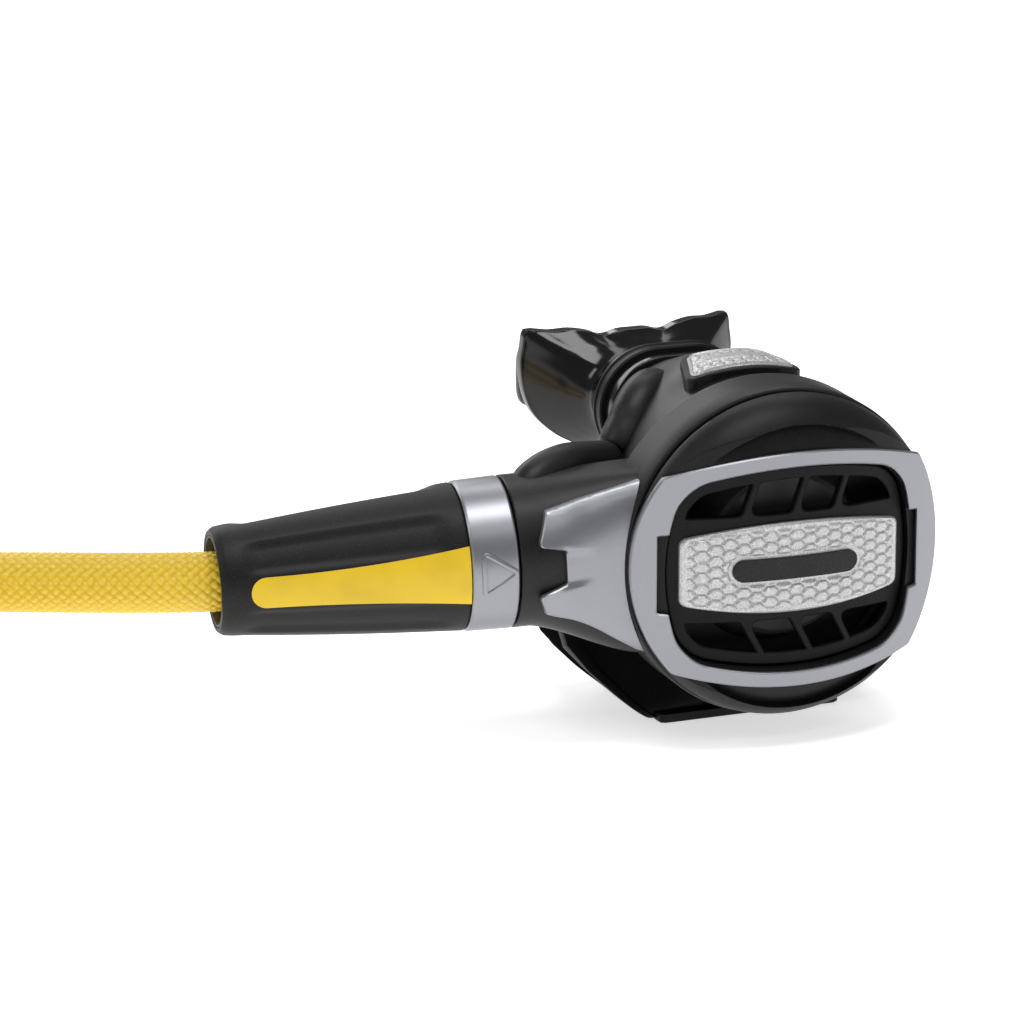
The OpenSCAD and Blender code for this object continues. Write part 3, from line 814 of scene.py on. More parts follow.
@dataclass(frozen=True)
class InlayPaint(Finish):
    """Smooth coloured inlay with a faint moulded tooth."""

    name: str = "yellow_inlay_polymer"
    colour: Colour = (0.82, 0.55, 0.012, 1.0)

    def build(self, shader: Shader) -> bpy.types.Material:
        """Makes the material.

        Args:
            shader: The material's nodes.

        Returns:
            The material.
        """
        tooth = shader.noise(0.4, 3.0)
        cloud = shader.noise(11.0, 2.0)
        deeper = tuple(c * 0.9 for c in self.colour[:3]) + (1.0,)
        return shader.close({
            "Base Color": shader.mix(cloud.rising(0.4, 0.7), self.colour, deeper),
            "Roughness": 0.42 + 0.08 * tooth,
            "Normal": shader.bump(tooth, 0.012, 0.5),
        })


@dataclass(frozen=True)
class Braid(Finish):
    """Glossy nylon yarn in a diamond braid, drawn over the modelled strands, with painted shade in the
    grooves between crossings.
    """

    name: str = "yellow_nylon_braid"
    colour: Colour = (0.87, 0.585, 0.012, 1.0)
    # Painted shade: the darker yellow put in the grooves between crossings.
    painted_groove_shade: Colour = (0.76, 0.47, 0.008, 1.0)
    yarns: float = 5.0

    def build(self, shader: Shader) -> bpy.types.Material:
        """Makes the material.

        Args:
            shader: The material's nodes.

        Returns:
            The material.
        """
        cell = shader.node("ShaderNodeUVMap", {"uv_map": "weave"})
        parts = shader.tree.nodes.new("ShaderNodeSeparateXYZ")
        shader.tree.links.new(cell.out, parts.inputs[0])
        u, v = Socket(shader, parts.outputs[0]), Socket(shader, parts.outputs[1])
        right, left = u + v, u - v
        on_top = (right.math("FLOOR") + left.math("FLOOR")).math("PINGPONG", 1.0)
        across = on_top * right.math("FRACT") + (1 - on_top) * left.math("FRACT")
        along = on_top * left.math("FRACT") + (1 - on_top) * right.math("FRACT")
        crown = (across * math.pi).math("SINE") * (0.5 + 0.5 * (along * math.pi).math("SINE"))
        yarn = (across * (2 * math.pi * self.yarns)).math("SINE") * 0.5 + 0.5
        tint = shader.noise(1.6, 2.0)
        pale = (0.90, 0.64, 0.04, 1.0)
        # Painted shade: the colour darkens towards the groove colour where the crown falls away between
        # crossings.
        colour = shader.mix(crown.rising(0.05, 0.55), self.painted_groove_shade, self.colour)
        colour = shader.mix(tint.rising(0.5, 0.8) * 0.5, colour, pale)
        return shader.close({
            "Base Color": colour,
            "Roughness": 0.24 + 0.12 * yarn,
            "Normal": shader.bump(crown + 0.12 * yarn, 0.35, 0.8),
            "Specular IOR Level": 0.7,
        })


class Finishes:
    """Every finish that the object wears."""

    shell = Moulding("black_technopolymer", grey(0.009, 0.02), 0.42, 0.26, 0.035, 0.9, 0.28)
    trim = Moulding("black_cover_polymer", grey(0.008), 0.45, 0.3, 0.02, 0.5)
    grille = Moulding("black_grille_polymer", grey(0.006), 0.42, 0.3, 0.015, 0.4, 0.16)
    grip = Moulding("black_grip_elastomer", grey(0.008), 0.5, 0.4, 0.05, 0.8, 0.26)
    tee = Moulding("black_tee_polymer", grey(0.006), 0.42, 0.3, 0.02, 0.5)
    silver = SatinSilver()
    badge = SandedSilver()
    emblem = Moulding("dark_emblem_polymer", grey(0.02), 0.4, 0.3, 0.02, 0.5)
    inlay = InlayPaint()
    liner = Moulding("liner_polymer", grey(0.12), 0.5, 0.3, 0.02, 0.1)
    mouth = Silicone("gloss_black_silicone", grey(0.005), 0.13, 0.38)
    membrane = Silicone("membrane_silicone", grey(0.03), 0.5)
    rubber = Silicone("seal_rubber", grey(0.012), 0.6)
    brass = Machined("plated_brass", (0.62, 0.47, 0.22, 1.0), 0.25)
    steel = Machined("stainless_steel", (0.56, 0.56, 0.57, 1.0), 0.24)
    braid = Braid()


# Making pieces --------------------------------------------------------------------------------


@dataclass
class Bench:
    """Makes each finished piece and keeps the list of them."""

    made: list[str] = field(default_factory=list)

    def piece(self, name: str, solid: Solid, place: Frame, finish: Finish, slot: Slot,
              body: Body = Body.ROOT, replaces: Sequence[str] = (), sharp: float = SHARP) -> bpy.types.Object:
        """Makes one piece.

        Args:
            name: Its name.
            solid: Its shape in the local frame.
            place: The local frame.
            finish: What it is finished in.
            slot: The record's material slot; not used.
            body: The body that it rides on.
            replaces: CAD nodes that it stands for.
            sharp: Edges that turn by more than this angle stay crisp.

        Returns:
            The object.
        """
        mesh = bpy.data.meshes.new(name)
        mesh.from_pydata(place.place(solid.points).tolist(), [], solid.faces)
        work = bmesh.new()
        work.from_mesh(mesh)
        bmesh.ops.recalc_face_normals(work, faces=work.faces)
        work.to_mesh(mesh)
        work.free()
        mesh.shade_smooth()
        mesh.set_sharp_from_angle(angle=sharp)
        obj = bpy.data.objects.new(name, mesh)
        bpy.context.scene.collection.objects.link(obj)
        mesh.materials.append(finish.material())
        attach(obj, body.value)
        if replaces:
            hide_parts(*replaces)
        self.made.append(name)
        log.info("%s: %d faces, on %s", name, len(mesh.polygons), body.value)
        return obj

    def dress(self, node: str, finish: Finish) -> None:
        """Gives a CAD node that stays in sight its finish.

        Args:
            node: The CAD node's name.
            finish: What it is finished in.
        """
        mesh = frame["nodes"][node].data
        mesh.materials.clear()
        mesh.materials.append(finish.material())
        for polygon in mesh.polygons:
            polygon.material_index = 0
        log.info("%s: dressed in %s", node, finish.name)


# The studio -----------------------------------------------------------------------------------


@dataclass
class Softbox:
    """A soft light aimed at the object.

    Attributes:
        azimuth: Degrees round the object, 0 in front and positive towards +X.
        elevation: Degrees above the horizon.
        distance: Metres from the object.
        size: Width and height in metres.
        power: Watts.
    """

    azimuth: float
    elevation: float
    distance: float
    size: tuple[float, float]
    power: float

    def make(self, target: Vector, name: str) -> None:
        """Puts the light in the scene.

        Args:
            target: The point that it shines at, in metres.
            name: Its name.
        """
        a, e = math.radians(self.azimuth), math.radians(self.elevation)
        away = Vector((math.sin(a) * math.cos(e), -math.cos(a) * math.cos(e), math.sin(e)))
        data = bpy.data.lights.new(name, "AREA")
        data.shape = "RECTANGLE"
        data.size, data.size_y = self.size
        data.energy = self.power
        light = bpy.data.objects.new(name, data)
        light.location = target + away * self.distance
        light.rotation_mode = "QUATERNION"
        light.rotation_quaternion = away.to_track_quat("Z", "Y")
        bpy.context.scene.collection.objects.link(light)


@dataclass
class Studio:
    """Pale floor, soft light and the camera."""

    azimuth: float = -21.0
    elevation: float = 16.0
    distance: float = 1.111
    lens: float = 175.8
    aim: tuple[float, float, float] = (-54.84, 23.65, 8.44)
    lights_aim: tuple[float, float, float] = (-30.0, 20.0, 0.0)
    floor_half: float = 4.0
    floor_glow: float = 0.62
    sky: float = 0.22
    boxes: tuple[Softbox, ...] = (
        Softbox(0, 80, 1.3, (0.75, 0.42), 8),
        Softbox(0, 49, 1.6, (1.1, 0.14), 1.6),
        Softbox(-90, 38, 1.2, (0.3, 0.5), 2.4),
        Softbox(60, 22, 1.4, (0.8, 1.0), 1.2),
        Softbox(-168, 24, 1.4, (1.2, 0.4), 5),
        Softbox(160, 50, 1.3, (0.8, 0.4), 2.5),
    )

    def camera(self) -> None:
        """Makes the camera."""
        a, e = math.radians(self.azimuth), math.radians(self.elevation)
        back = Vector((math.sin(a) * math.cos(e), -math.cos(a) * math.cos(e), math.sin(e)))
        data = bpy.data.cameras.new("camera")
        data.lens, data.sensor_width = self.lens, 36.0
        data.clip_start, data.clip_end = 0.05, 50.0
        camera = bpy.data.objects.new("camera", data)
        target = Vector(HOUSING.place([self.aim])[0])
        camera.location = target + back * self.distance
        camera.rotation_mode = "QUATERNION"
        camera.rotation_quaternion = back.to_track_quat("Z", "Y")
        bpy.context.scene.collection.objects.link(camera)
        bpy.context.scene.camera = camera
        log.info("camera made")

    def light(self) -> None:
        """Makes the floor, the soft boxes and the pale surroundings."""
        target = Vector(HOUSING.place([self.lights_aim])[0])
        for i, box in enumerate(self.boxes):
            box.make(target, f"softbox_{i}")
        shader = Shader("pale_floor")
        veil = shader.noise(400.0, 2.0)
        colour = shader.mix(veil, grey(0.93), grey(0.96))
        material = shader.close({
            "Base Color": colour, "Roughness": 0.9, "Specular IOR Level": 0.0,
            "Emission Color": (1.0, 1.0, 1.0, 1.0), "Emission Strength": self.floor_glow,
        })
        mesh = bpy.data.meshes.new("floor")
        half, level = self.floor_half, CAD_BOX[0].z - 0.2 * MM
        corners = [(-half, -half, level), (half, -half, level), (half, half, level), (-half, half, level)]
        mesh.from_pydata(corners, [], [(0, 1, 2, 3)])
        mesh.materials.append(material)
        floor = bpy.data.objects.new("floor", mesh)
        bpy.context.scene.collection.objects.link(floor)
        world = bpy.data.worlds.new("studio")
        world.use_nodes = True
        world.node_tree.nodes["Background"].inputs[0].default_value = (1.0, 1.0, 1.0, 1.0)
        world.node_tree.nodes["Background"].inputs[1].default_value = self.sky
        bpy.context.scene.world = world
        bpy.context.scene.view_settings.view_transform = "Standard"
        log.info("studio lit")


# The hose -------------------------------------------------------------------------------------


@dataclass
class Hose:
    """The braided low-pressure hose, its coil and its far end. Its points are in the shared frame."""

    diameter: float = 13.4
    columns: int = 18
    pitch: float = 2.45
    relief: float = 0.42
    coil_start_r: float = 82.0
    coil_end_r: float = 67.0
    coil_centre: tuple[float, float] = (-280.5, 0.8)
    coil_from: float = 85.0
    route: tuple[tuple[float, float, float], ...] = (
        (-104.6, -8.1, 42.3), (-115.5, -6.7, 41.9), (-124, -5.6, 41.6), (-134.5, -2.8, 41.7),
        (-146, 1.5, 41.7), (-158, 6.8, 41.6), (-169.3, 12.7, 41.2), (-179.5, 20, 40.2),
        (-189.5, 28, 38), (-199, 36.5, 34.6), (-208.5, 45, 30.2), (-218, 53.5, 25.2),
        (-228, 61.3, 20.2), (-238.2, 68.8, 15.4), (-249.2, 75, 11.4), (-261, 79.8, 8.4),
        (-273.4, 82.5, 6.8),
    )
    tail: tuple[tuple[float, float, float], ...] = (
        (-274.7, 67.5, 6.7), (-282.8, 67.8, 7.3), (-291, 67.3, 8.8), (-299.2, 66, 11.1),
        (-307.2, 63.8, 13.7), (-315.1, 60.8, 16.4), (-322.8, 56.9, 18.8), (-330.1, 52.2, 20.7),
        (-337, 46.6, 21.8), (-343.5, 40.2, 22), (-349.4, 32.9, 22),
    )

    def coil(self) -> list[tuple[float, float, float]]:
        """The laid turn, wound inwards on the floor.

        Returns:
            Its points, in millimetres.
        """
        points = []
        for turn in range(6, 360, 6):
            a = math.radians(self.coil_from + turn)
            r = self.coil_start_r + (self.coil_end_r - self.coil_start_r) * turn / 360
            x, y = self.coil_centre[0] + r * math.cos(a), self.coil_centre[1] + r * math.sin(a)
            points.append((x, y, self.diameter / 2))
        return points

    def line(self) -> np.ndarray:
        """The hose's middle, in even steps of a quarter of the braid's pitch.

        Returns:
            Its points, in millimetres.
        """
        rough = smooth_path([*self.route, *self.coil(), *self.tail], 4000)
        gone = np.concatenate([[0], np.cumsum(np.linalg.norm(np.diff(rough, axis=0), axis=1))])
        steps = int(gone[-1] / (self.pitch / 4))
        at = np.linspace(0, gone[-1], steps + 1)
        return np.stack([np.interp(at, gone, rough[:, k]) for k in range(3)], 1)

    def build(self, bench: Bench) -> None:
        """Makes the hose and dresses its fitting.

        Args:
            bench: Where its pieces are made.
        """
        line = self.line()
        around = self.columns * 4
        u = np.arange(around) / 4
        v = np.arange(len(line)) / 4
        right, left = v[:, None] + u[None, :], u[None, :] - v[:, None]
        on_top = (np.floor(right) + np.floor(left)) % 2 > 0.5
        across = np.where(on_top, right, left) % 1
        along = np.where(on_top, left, right) % 1
        crown = np.sin(math.pi * across) ** 0.8 * (0.55 + 0.45 * np.sin(math.pi * along))
        radius = self.diameter / 2 - self.relief + self.relief * crown
        rings = swept_rings(line, radius, circle(around))
        shared = Frame(np.zeros(3), np.eye(3))
        hose = bench.piece("hose_braid", loft(rings), shared, Finishes.braid, Slot.BRAID,
                           replaces=("hose_tube", "hose_coil", "hose_tail"), sharp=math.pi)
        self.weave(hose.data, around)
        bench.dress("lp_ferrule", Finishes.steel)
        bench.dress("lp_fitting", Finishes.brass)
        bench.dress("lp_oring", Finishes.rubber)

    def weave(self, mesh: bpy.types.Mesh, around: int) -> None:
        """Writes each corner's place in the braid, in whole crossings, as a UV map.

        Args:
            mesh: The hose's mesh.
            around: Points in each ring.
        """
        layer = mesh.uv_layers.new(name="weave")
        corners = np.zeros(len(mesh.loops), int)
        mesh.loops.foreach_get("vertex_index", corners)
        u, v = (corners % around) / 4.0, (corners // around) / 4.0
        for polygon in mesh.polygons:
            span = slice(polygon.loop_start, polygon.loop_start + polygon.loop_total)
            if u[span].max() - u[span].min() > self.columns / 2:
                u[span] = np.where(u[span] < 1, u[span] + self.columns, u[span])
        layer.uv.foreach_set("vector", np.stack([u, v], 1).ravel())


# Housing --------------------------------------------------------------------------------------


@dataclass
class Housing:
    """The round housing with its dome, shoulder, bypass tube, forked trim and top badge."""

    rim_r: float = 37.5
    ledge_r: float = 34.5
    cavity_r: float = 31.5
    wall: float = 2.4
    barrel_r: float = 17.0
    sides: int = 160
    # Sections from the rim to the neck: depth, half width, half height, height of the middle.
    sections: tuple[tuple[float, float, float, float], ...] = (
        (12.0, 37.5, 37.5, 0.0), (13.6, 37.5, 37.5, 0.0), (14.2, 37.2, 37.3, 0.0), (15.2, 35.6, 36.4, 0.0),
        (18, 33.6, 35.6, 0.3), (24, 31.4, 34.8, 1.4), (31, 27.9, 32.6, 4.4), (37, 24.2, 28.8, 8.0),
        (43, 20.8, 23.8, 11.8), (49, 18.8, 18.4, 15.5), (54, 17.6, 14.2, 17.8), (56.5, 17.2, 12.8, 18.5),
    )

    def dome_sections(self, inset: float) -> np.ndarray:
        """Smooth sections of the dome, shrunk by inset.

        Args:
            inset: How much smaller their half sizes are.

        Returns:
            Rows like those of sections.
        """
        rows = smooth_path(self.sections, 44)
        rows[:, 1:3] -= inset
        return rows

    def rings(self, rows: np.ndarray) -> np.ndarray:
        """Rings of points at each section.

        Args:
            rows: Rows like those of sections.

        Returns:
            The rings.
        """
        a = circle(self.sides)
        return np.array([
            np.stack([w * np.cos(a), np.full(self.sides, y), z + h * np.sin(a)], 1) for y, w, h, z in rows
        ])

    def shell(self) -> Solid:
        """The hollow housing from its front ledge to its neck.

        Returns:
            The shell.
        """
        front = [
            (14.0, self.cavity_r, self.cavity_r, 0.0), (5.0, self.cavity_r, self.cavity_r, 0.0),
            (5.0, self.ledge_r, self.ledge_r, 0.0), (0.2, self.ledge_r, self.ledge_r, 0.0),
            (0.05, self.ledge_r + 0.3, self.ledge_r + 0.3, 0.0), (0.05, 36.9, 36.9, 0.0),
            (0.3, 37.3, 37.3, 0.0), (0.8, 37.5, 37.5, 0.0), (6.0, 37.5, 37.5, 0.0),
        ]
        outer = self.dome_sections(0.0)
        neck = [(60.0, 15.2, 10.8, 18.5), (67.0, 15.2, 10.8, 18.5), (67.0, 13.0, 8.5, 18.5)]
        inner = self.dome_sections(self.wall)[::-1]
        inner = inner[inner[:, 0] > 17]
        return loft(self.rings(np.array([*front, *outer, *neck, *inner])), loop=True)

    def shoulder(self) -> Solid:
        """The shoulder that runs from the rim out to the barrel.

        Returns:
            The shoulder.
        """
        count = 96
        a = circle(count)
        # Barrel's section: local X is up and local Y is back, so the angle runs from back to up.
        foot = np.stack([np.sin(a), np.cos(a), np.zeros(count)], 1) * self.barrel_r
        near, start, lip = (BARREL.within(foot + [0, 0, s], HOUSING) for s in (-4.0, -0.3, -0.02))
        lip_centre = BARREL.within([[0, 0, -0.02]], HOUSING)[0]
        lip = lip_centre + (lip - lip_centre) * 0.985
        c, s = np.cos(a), np.sin(a)
        power = 2 / 3.6
        box_y = 12.1 + 11.3 * np.sign(c) * np.abs(c) ** power
        box_z = -1.0 + 21.4 * np.sign(s) * np.abs(s) ** power
        box = np.stack([-31.0 + 5.0 * smoothstep(13.0, 19.0, box_y), box_y, box_z], 1)
        rings = [lip, start]
        for t in np.linspace(0, 1, 22):
            ease = t * t * (3 - 2 * t) * 0.55 + 0.45 * t
            rings.append(near * (1 - ease) + box * ease)
            rings[-1][:, 0] = near[:, 0] * (1 - t) + box[:, 0] * t
        return loft(np.array(rings))

    def bypass(self) -> Solid:
        """The bypass tube: a low lobe over the barrel, a knuckle, and a lobe up the dome.

        Returns:
            The tube.
        """
        route = smooth_path([
            (-57.5, 14.6, 10.6), (-53.5, 17.5, 15), (-49, 19.8, 17.4), (-43, 22.2, 18.4), (-37, 25.5, 17.5),
            (-31.5, 29.2, 16.2), (-27.6, 31.6, 16), (-24.8, 33, 18.8), (-22.3, 34.5, 21.9), (-20.3, 36, 24.8),
            (-17.3, 38.6, 27.2), (-13.4, 42.4, 27.6), (-9.6, 46, 24.6),
        ], 110)
        t = np.linspace(0, 1, 110)
        radius = 4.9 + 0.6 * smoothstep(0.5, 0.62, t) - 1.1 * np.exp(-(((t - 0.5) / 0.035) ** 2))
        radius *= 1 - 0.35 * (smoothstep(0.12, 0.0, t) + smoothstep(0.93, 1.0, t))
        return swept(route, radius, 40)

    def fork(self, shoulder: Surface) -> Solid:
        """The forked trim: a plate over the shoulder with two raised prongs.

        Args:
            shoulder: The surface that it lies on.

        Returns:
            The trim.
        """
        rim = 37.3
        top, bottom = math.atan2(19.0, -32.1), math.atan2(-21.0, -30.8)
        arc = [(rim * math.cos(a), rim * math.sin(a)) for a in np.linspace(bottom + 2 * math.pi, top, 24)]
        prongs = [(-54.8, 13.9), (-57.8, 7.1), (-51.3, 5.7), (-50.9, -1.9), (-57.4, -4.3), (-55.0, -9.2)]
        lower = [(-52.6, -10.0), (-48.6, -11.1), (-43.6, -13.5), (-38, -17.0), (-32.8, -20.2)]
        outline = rounded([*arc, *prongs, *smooth_path(lower, 14)], 1.1)
        flat = plate(outline, [], 1.7, 0.28, 0.9, 0.9)

        def front(x: np.ndarray, z: np.ndarray) -> np.ndarray:
            """Where the trim's front lies.

            Args:
                x: Places along the face.
                z: Places up the face.

            Returns:
                The depths.
            """
            fade = smoothstep(-43.0, -52.0, x)
            upper = smoothstep(4.2, 6.6, z + 0.10 * (x + 51))
            under = smoothstep(-1.2, -3.6, z - 0.10 * (x + 51))
            raised = 1.0 * fade * np.maximum(upper, under)
            return shoulder.from_front(x, z) - 1.05 - raised

        return flat.bent(front)

    def badge_pad(self) -> tuple[Solid, Solid]:
        """The top badge and the raised pocket that it lies in.

        Returns:
            The badge and the pocket.
        """
        badge = rounded([(-13.0, -6.4), (13.0, -6.4), (8.6, 6.6), (-8.6, 6.6)], 2.0)
        pocket = rounded([(-14.8, -7.6), (14.8, -7.6), (9.6, 8.2), (-9.6, 8.2)], 2.8)

        def laid(outline: np.ndarray, level: float, depth: float, relief: Heights,
                 cells: tuple[int, int]) -> Solid:
            """Lays a plate, bowed a little across, on top of the dome.

            Args:
                outline: Its edge.
                level: Height of its top at the middle.
                depth: Its thickness.
                relief: How far its top stands out.
                cells: Its grid.

            Returns:
                The plate.
            """
            flat = pad(outline, (0.0, 0.0), depth, 0.3, cells, relief)
            x, deep, along = flat.points.T
            y = along + 27.6
            z = level - x**2 / 100 - (y - 30) ** 2 / 300 - deep
            return Solid(np.stack([x, y, z], 1), flat.faces)

        def emblem(x: np.ndarray, z: np.ndarray) -> np.ndarray:
            """A raised border, a plain middle bar and pebbles between them.

            Args:
                x: Places across.
                z: Places along.

            Returns:
                The heights.
            """
            inside = polar_gap(badge, x, z)
            border = 0.35 * (1 - smoothstep(0.5, 1.0, inside))
            bar = 0.5 * (1 - smoothstep(1.5, 1.9, np.hypot(np.maximum(np.abs(x) - 6.2, 0), z)))
            return border + np.maximum(bar, 0.3 * honeycomb(x, z, 2.2) * smoothstep(1.0, 1.6, inside))

        return (laid(badge, 38.2, 1.6, emblem, (150, 76)),
                laid(pocket, 37.8, 5.0, lambda x, z: np.zeros_like(x), (40, 24)))

    def build(self, bench: Bench) -> None:
        """Makes the housing's pieces.

        Args:
            bench: Where they are made.
        """
        shell, shoulder = self.shell(), self.shoulder()
        bench.piece("housing_shell", shell, HOUSING, Finishes.shell, Slot.SHELL, replaces=("housing",))
        bench.piece("housing_shoulder", shoulder, HOUSING, Finishes.shell, Slot.SHELL, replaces=("housing",))
        bench.piece("bypass_lobe", self.bypass(), HOUSING, Finishes.shell, Slot.SHELL,
                    replaces=("bypass_tube",))
        trim = self.fork(Surface(shoulder))
        bench.piece("fork_plate", trim, HOUSING, Finishes.silver, Slot.SILVER, replaces=("fork_trim",),
                    sharp=math.radians(24))
        badge, pocket = self.badge_pad()
        bench.piece("top_badge_plate", badge, HOUSING, Finishes.badge, Slot.BADGE, replaces=("top_badge",))
        bench.piece("top_badge_pocket", pocket, HOUSING, Finishes.shell, Slot.SHELL)


def honeycomb(x: np.ndarray, z: np.ndarray, pitch: float, stretch: float = 1.43) -> np.ndarray:
    """Raised six-sided pebbles, 1 on top and 0 between them.

    Args:
        x: Places along the plate.
        z: Places up the plate.
        pitch: Spacing of the pebbles up the plate.
        stretch: How much wider than regular they are.

    Returns:
        The height at each place, from 0 to 1.
    """
    gx, gz = np.asarray(x) / stretch, np.asarray(z)
    wide, tall = pitch * math.sqrt(3), pitch
    best = np.full(np.shape(gx), 1e9)
    for shift in (0.0, 0.5):
        dx = np.abs((gx / wide + shift) % 1 - 0.5) * wide
        dz = np.abs((gz / tall + shift) % 1 - 0.5) * tall
        best = np.minimum(best, np.maximum(dz, dx * math.sqrt(3) / 2 + dz / 2))
    return smoothstep(0.0, 0.34, 1 - best / (pitch / 2))


def polar_gap(outline: np.ndarray, x: np.ndarray, z: np.ndarray) -> np.ndarray:
    """Roughly how far inside an outline each place lies."""
    angle = np.arctan2(z, x)
    return polar(outline, angle.ravel()).reshape(np.shape(angle)) - np.hypot(x, z)


# Purge cover ----------------------------------------------------------------------------------


@dataclass
class PurgeCover:
    """The screwed cover, its silver face ring, the sprung purge grille and its badge."""

    face_curve_r: float = 72.0
    face_front: float = 11.5
    button_curve_r: float = 84.0
    button_front: float = 7.8
    drop: float = 1.0
    rim_r: float = 37.0
    arch_reach: float = 26.8
    arch_r: float = 100.0
    crescent: float = 2.4

    def face(self, x: np.ndarray) -> np.ndarray:
        """Depth of the face ring's front."""
        axis = self.face_curve_r - self.face_front
        return axis - np.sqrt(self.face_curve_r**2 - np.asarray(x) ** 2)

    def button(self, x: np.ndarray) -> np.ndarray:
        """Depth of the grille's front."""
        axis = self.button_curve_r - self.button_front
        return axis - np.sqrt(self.button_curve_r**2 - np.asarray(x) ** 2)

    def disc_reach(self, a: np.ndarray, reach: float, r: float, toward: float) -> np.ndarray:
        """Distance to the edge of a disc of radius r whose edge lies at reach in one direction.

        Args:
            a: The angles.
            reach: Distance to the edge in that direction.
            r: The disc's radius.
            toward: The direction, in radians.

        Returns:
            The distances.
        """
        off = reach - r
        c = np.cos(a - toward)
        return off * c + np.sqrt(r**2 - off**2 * (1 - c**2))

    def button_outline(self, grow: float, count: int = 220) -> np.ndarray:
        """The grille's barrel-shaped outline, as (x, z).

        Args:
            grow: How far it is moved outwards.
            count: Points round it.

        Returns:
            The outline.
        """
        a = circle(count)
        hw, hh, corner = 28.9 - 9, 22.6 - 9, 9 + grow
        r = np.minimum.reduce([
            self.disc_reach(a, hw, 42, 0), self.disc_reach(a, hw, 42, math.pi),
            self.disc_reach(a, hh, 80, math.pi / 2), self.disc_reach(a, hh, 80, -math.pi / 2),
        ])
        core = np.stack([r * np.cos(a), r * np.sin(a)], 1)
        ray = np.stack([np.cos(a), np.sin(a)], 1)
        reach = (ray @ core.T)
        slack = np.maximum(corner**2 - (np.hypot(core[:, 0], core[:, 1])[None, :] ** 2 - reach**2), -1.0)
        far = np.where(slack >= 0, reach + np.sqrt(np.maximum(slack, 0)), 0).max(1)
        return ray * far[:, None] - [0, self.drop]

    def badge_outline(self) -> np.ndarray:
        """The badge's outline: shallow arcs above and below, with rounded corners.

        Returns:
            The outline, as (x, z).
        """
        arc_r, peak, half = 128.0, 10.3, 26.2
        x = np.linspace(-half, half, 15)
        z = peak - (arc_r - np.sqrt(arc_r**2 - x**2))
        upper = np.stack([x, z], 1)
        lower = np.stack([x[::-1], -z[::-1]], 1)
        return rounded([*upper, *lower], 2.9, 8) - [0, self.drop]

    def ring_outline(self) -> np.ndarray:
        """The face ring's outer edge: a circle cut by two shallow arches.

        Returns:
            The outline, as (x, z).
        """
        a = circle(300)
        full = 36.8 + 0.5 * (1 + np.cos(a))
        centre_shift = self.drop * np.sin(a)
        arches = [self.disc_reach(a, self.arch_reach, self.arch_r, s * math.pi / 2) for s in (1, -1)]
        r = np.minimum.reduce([full + centre_shift, *arches])
        return np.stack([r * np.cos(a), r * np.sin(a)], 1) - [0, self.drop]

    def notched_outline(self) -> np.ndarray:
        """The face ring's inner edge: the grille's outline with a notch at each side.

        Returns:
            The outline, as (x, z).
        """
        a = circle(720)
        hole = polar(self.button_outline(0.9), a, (0, -self.drop))
        half_w, half_h = 31.4, 8.0
        notch = half_w / np.maximum(np.abs(np.cos(a)), 0.5)
        near = smoothstep(half_h + 1.2, half_h, np.abs(np.sin(a)) * hole)
        r = np.maximum(hole, hole * (1 - near) + notch * near)
        return np.stack([r * np.cos(a), r * np.sin(a)], 1) - [0, self.drop]

    def cover(self) -> Solid:
        """The cover: a rounded shoulder with a crescent let in above and below the face ring.

        Returns:
            The cover.
        """
        count = 360
        a = circle(count)
        inner = self.button_outline(0.5)
        hole = polar(inner, a, (0, 0))
        c, s = np.cos(a), np.sin(a)
        rings = []

        def ring(r: np.ndarray, y: np.ndarray) -> None:
            """Adds one ring of points."""
            rings.append(np.stack([r * c, np.broadcast_to(y, a.shape), r * s], 1))

        ring(hole, np.full(count, -0.6))
        ring(np.full(count, 32.2), np.full(count, 2.3))
        ring(np.full(count, 34.4), np.full(count, 2.3))
        ring(np.full(count, 34.4), np.full(count, -0.35))
        ring(np.full(count, 36.4), np.full(count, -0.35))
        for t in np.concatenate([np.linspace(0, 0.5, 60), np.linspace(0.5, 1, 24)[1:]]):
            r = 36.9 * (1 - t) + hole * t
            x, z = r * c, r * s
            turn = np.arccos(np.clip((r - 24) / 13, 0, 1))
            y = -12 * np.sin(turn) - 0.45 * smoothstep(0.0, 0.03, t)
            out = np.hypot(x, z + self.drop)
            sunk = y + self.crescent * smoothstep(0.0, 0.6, 32.7 - out)
            edge = polar(self.ring_outline() + [0, self.drop], np.arctan2(z + self.drop, x))
            behind = 0.7 + 0.8 * smoothstep(24.0, 31.0, np.abs(x))
            y = np.maximum(sunk, self.face(x) + np.where(out < edge - 0.3, 1.5, behind))
            ring(r, y)
        return loft(np.array(rings), loop=True)

    def slot(self, side: int, left: float | None, right: float | None) -> np.ndarray:
        """One leaning slot between two ribs.

        Args:
            side: 1 above the badge and -1 below it.
            left: X of the rib on its left, or None at the grille's edge.
            right: X of the rib on its right, or None at the grille's edge.

        Returns:
            The slot's outline.
        """
        inner, outer, half_rib = 12.1, 20.1, 0.8
        lean = 2.8 if side > 0 else 4.2
        across = np.array([outer - inner, -lean]) / math.hypot(outer - inner, lean)
        outline = clipped(self.button_outline(-2.7) + [0, self.drop], (0, -1), -inner)
        outline = clipped(outline, (0, 1), outer)
        if left is not None:
            outline = clipped(outline, -across, -across @ [left, inner] - half_rib)
        if right is not None:
            outline = clipped(outline, across, across @ [right, inner] - half_rib)
        outline = rounded(outline, 1.9)
        outline[:, 1] = outline[:, 1] * side - self.drop
        return outline

    def grille(self) -> Solid:
        """The grille with two rows of leaning slots.

        Returns:
            The grille.
        """
        ribs = (None, -11.6, 0.0, 10.2, None)
        holes = [self.slot(side, ribs[i], ribs[i + 1]) for side in (1, -1) for i in range(4)]
        flat = plate(self.button_outline(0.0), holes, 2.2, 0.3, 1.5)
        return flat.bent(lambda x, z: self.button(x))

    def badge(self) -> Solid:
        """The badge with its border, field of pebbles and flat middle.

        Returns:
            The badge.
        """
        outline = self.badge_outline()

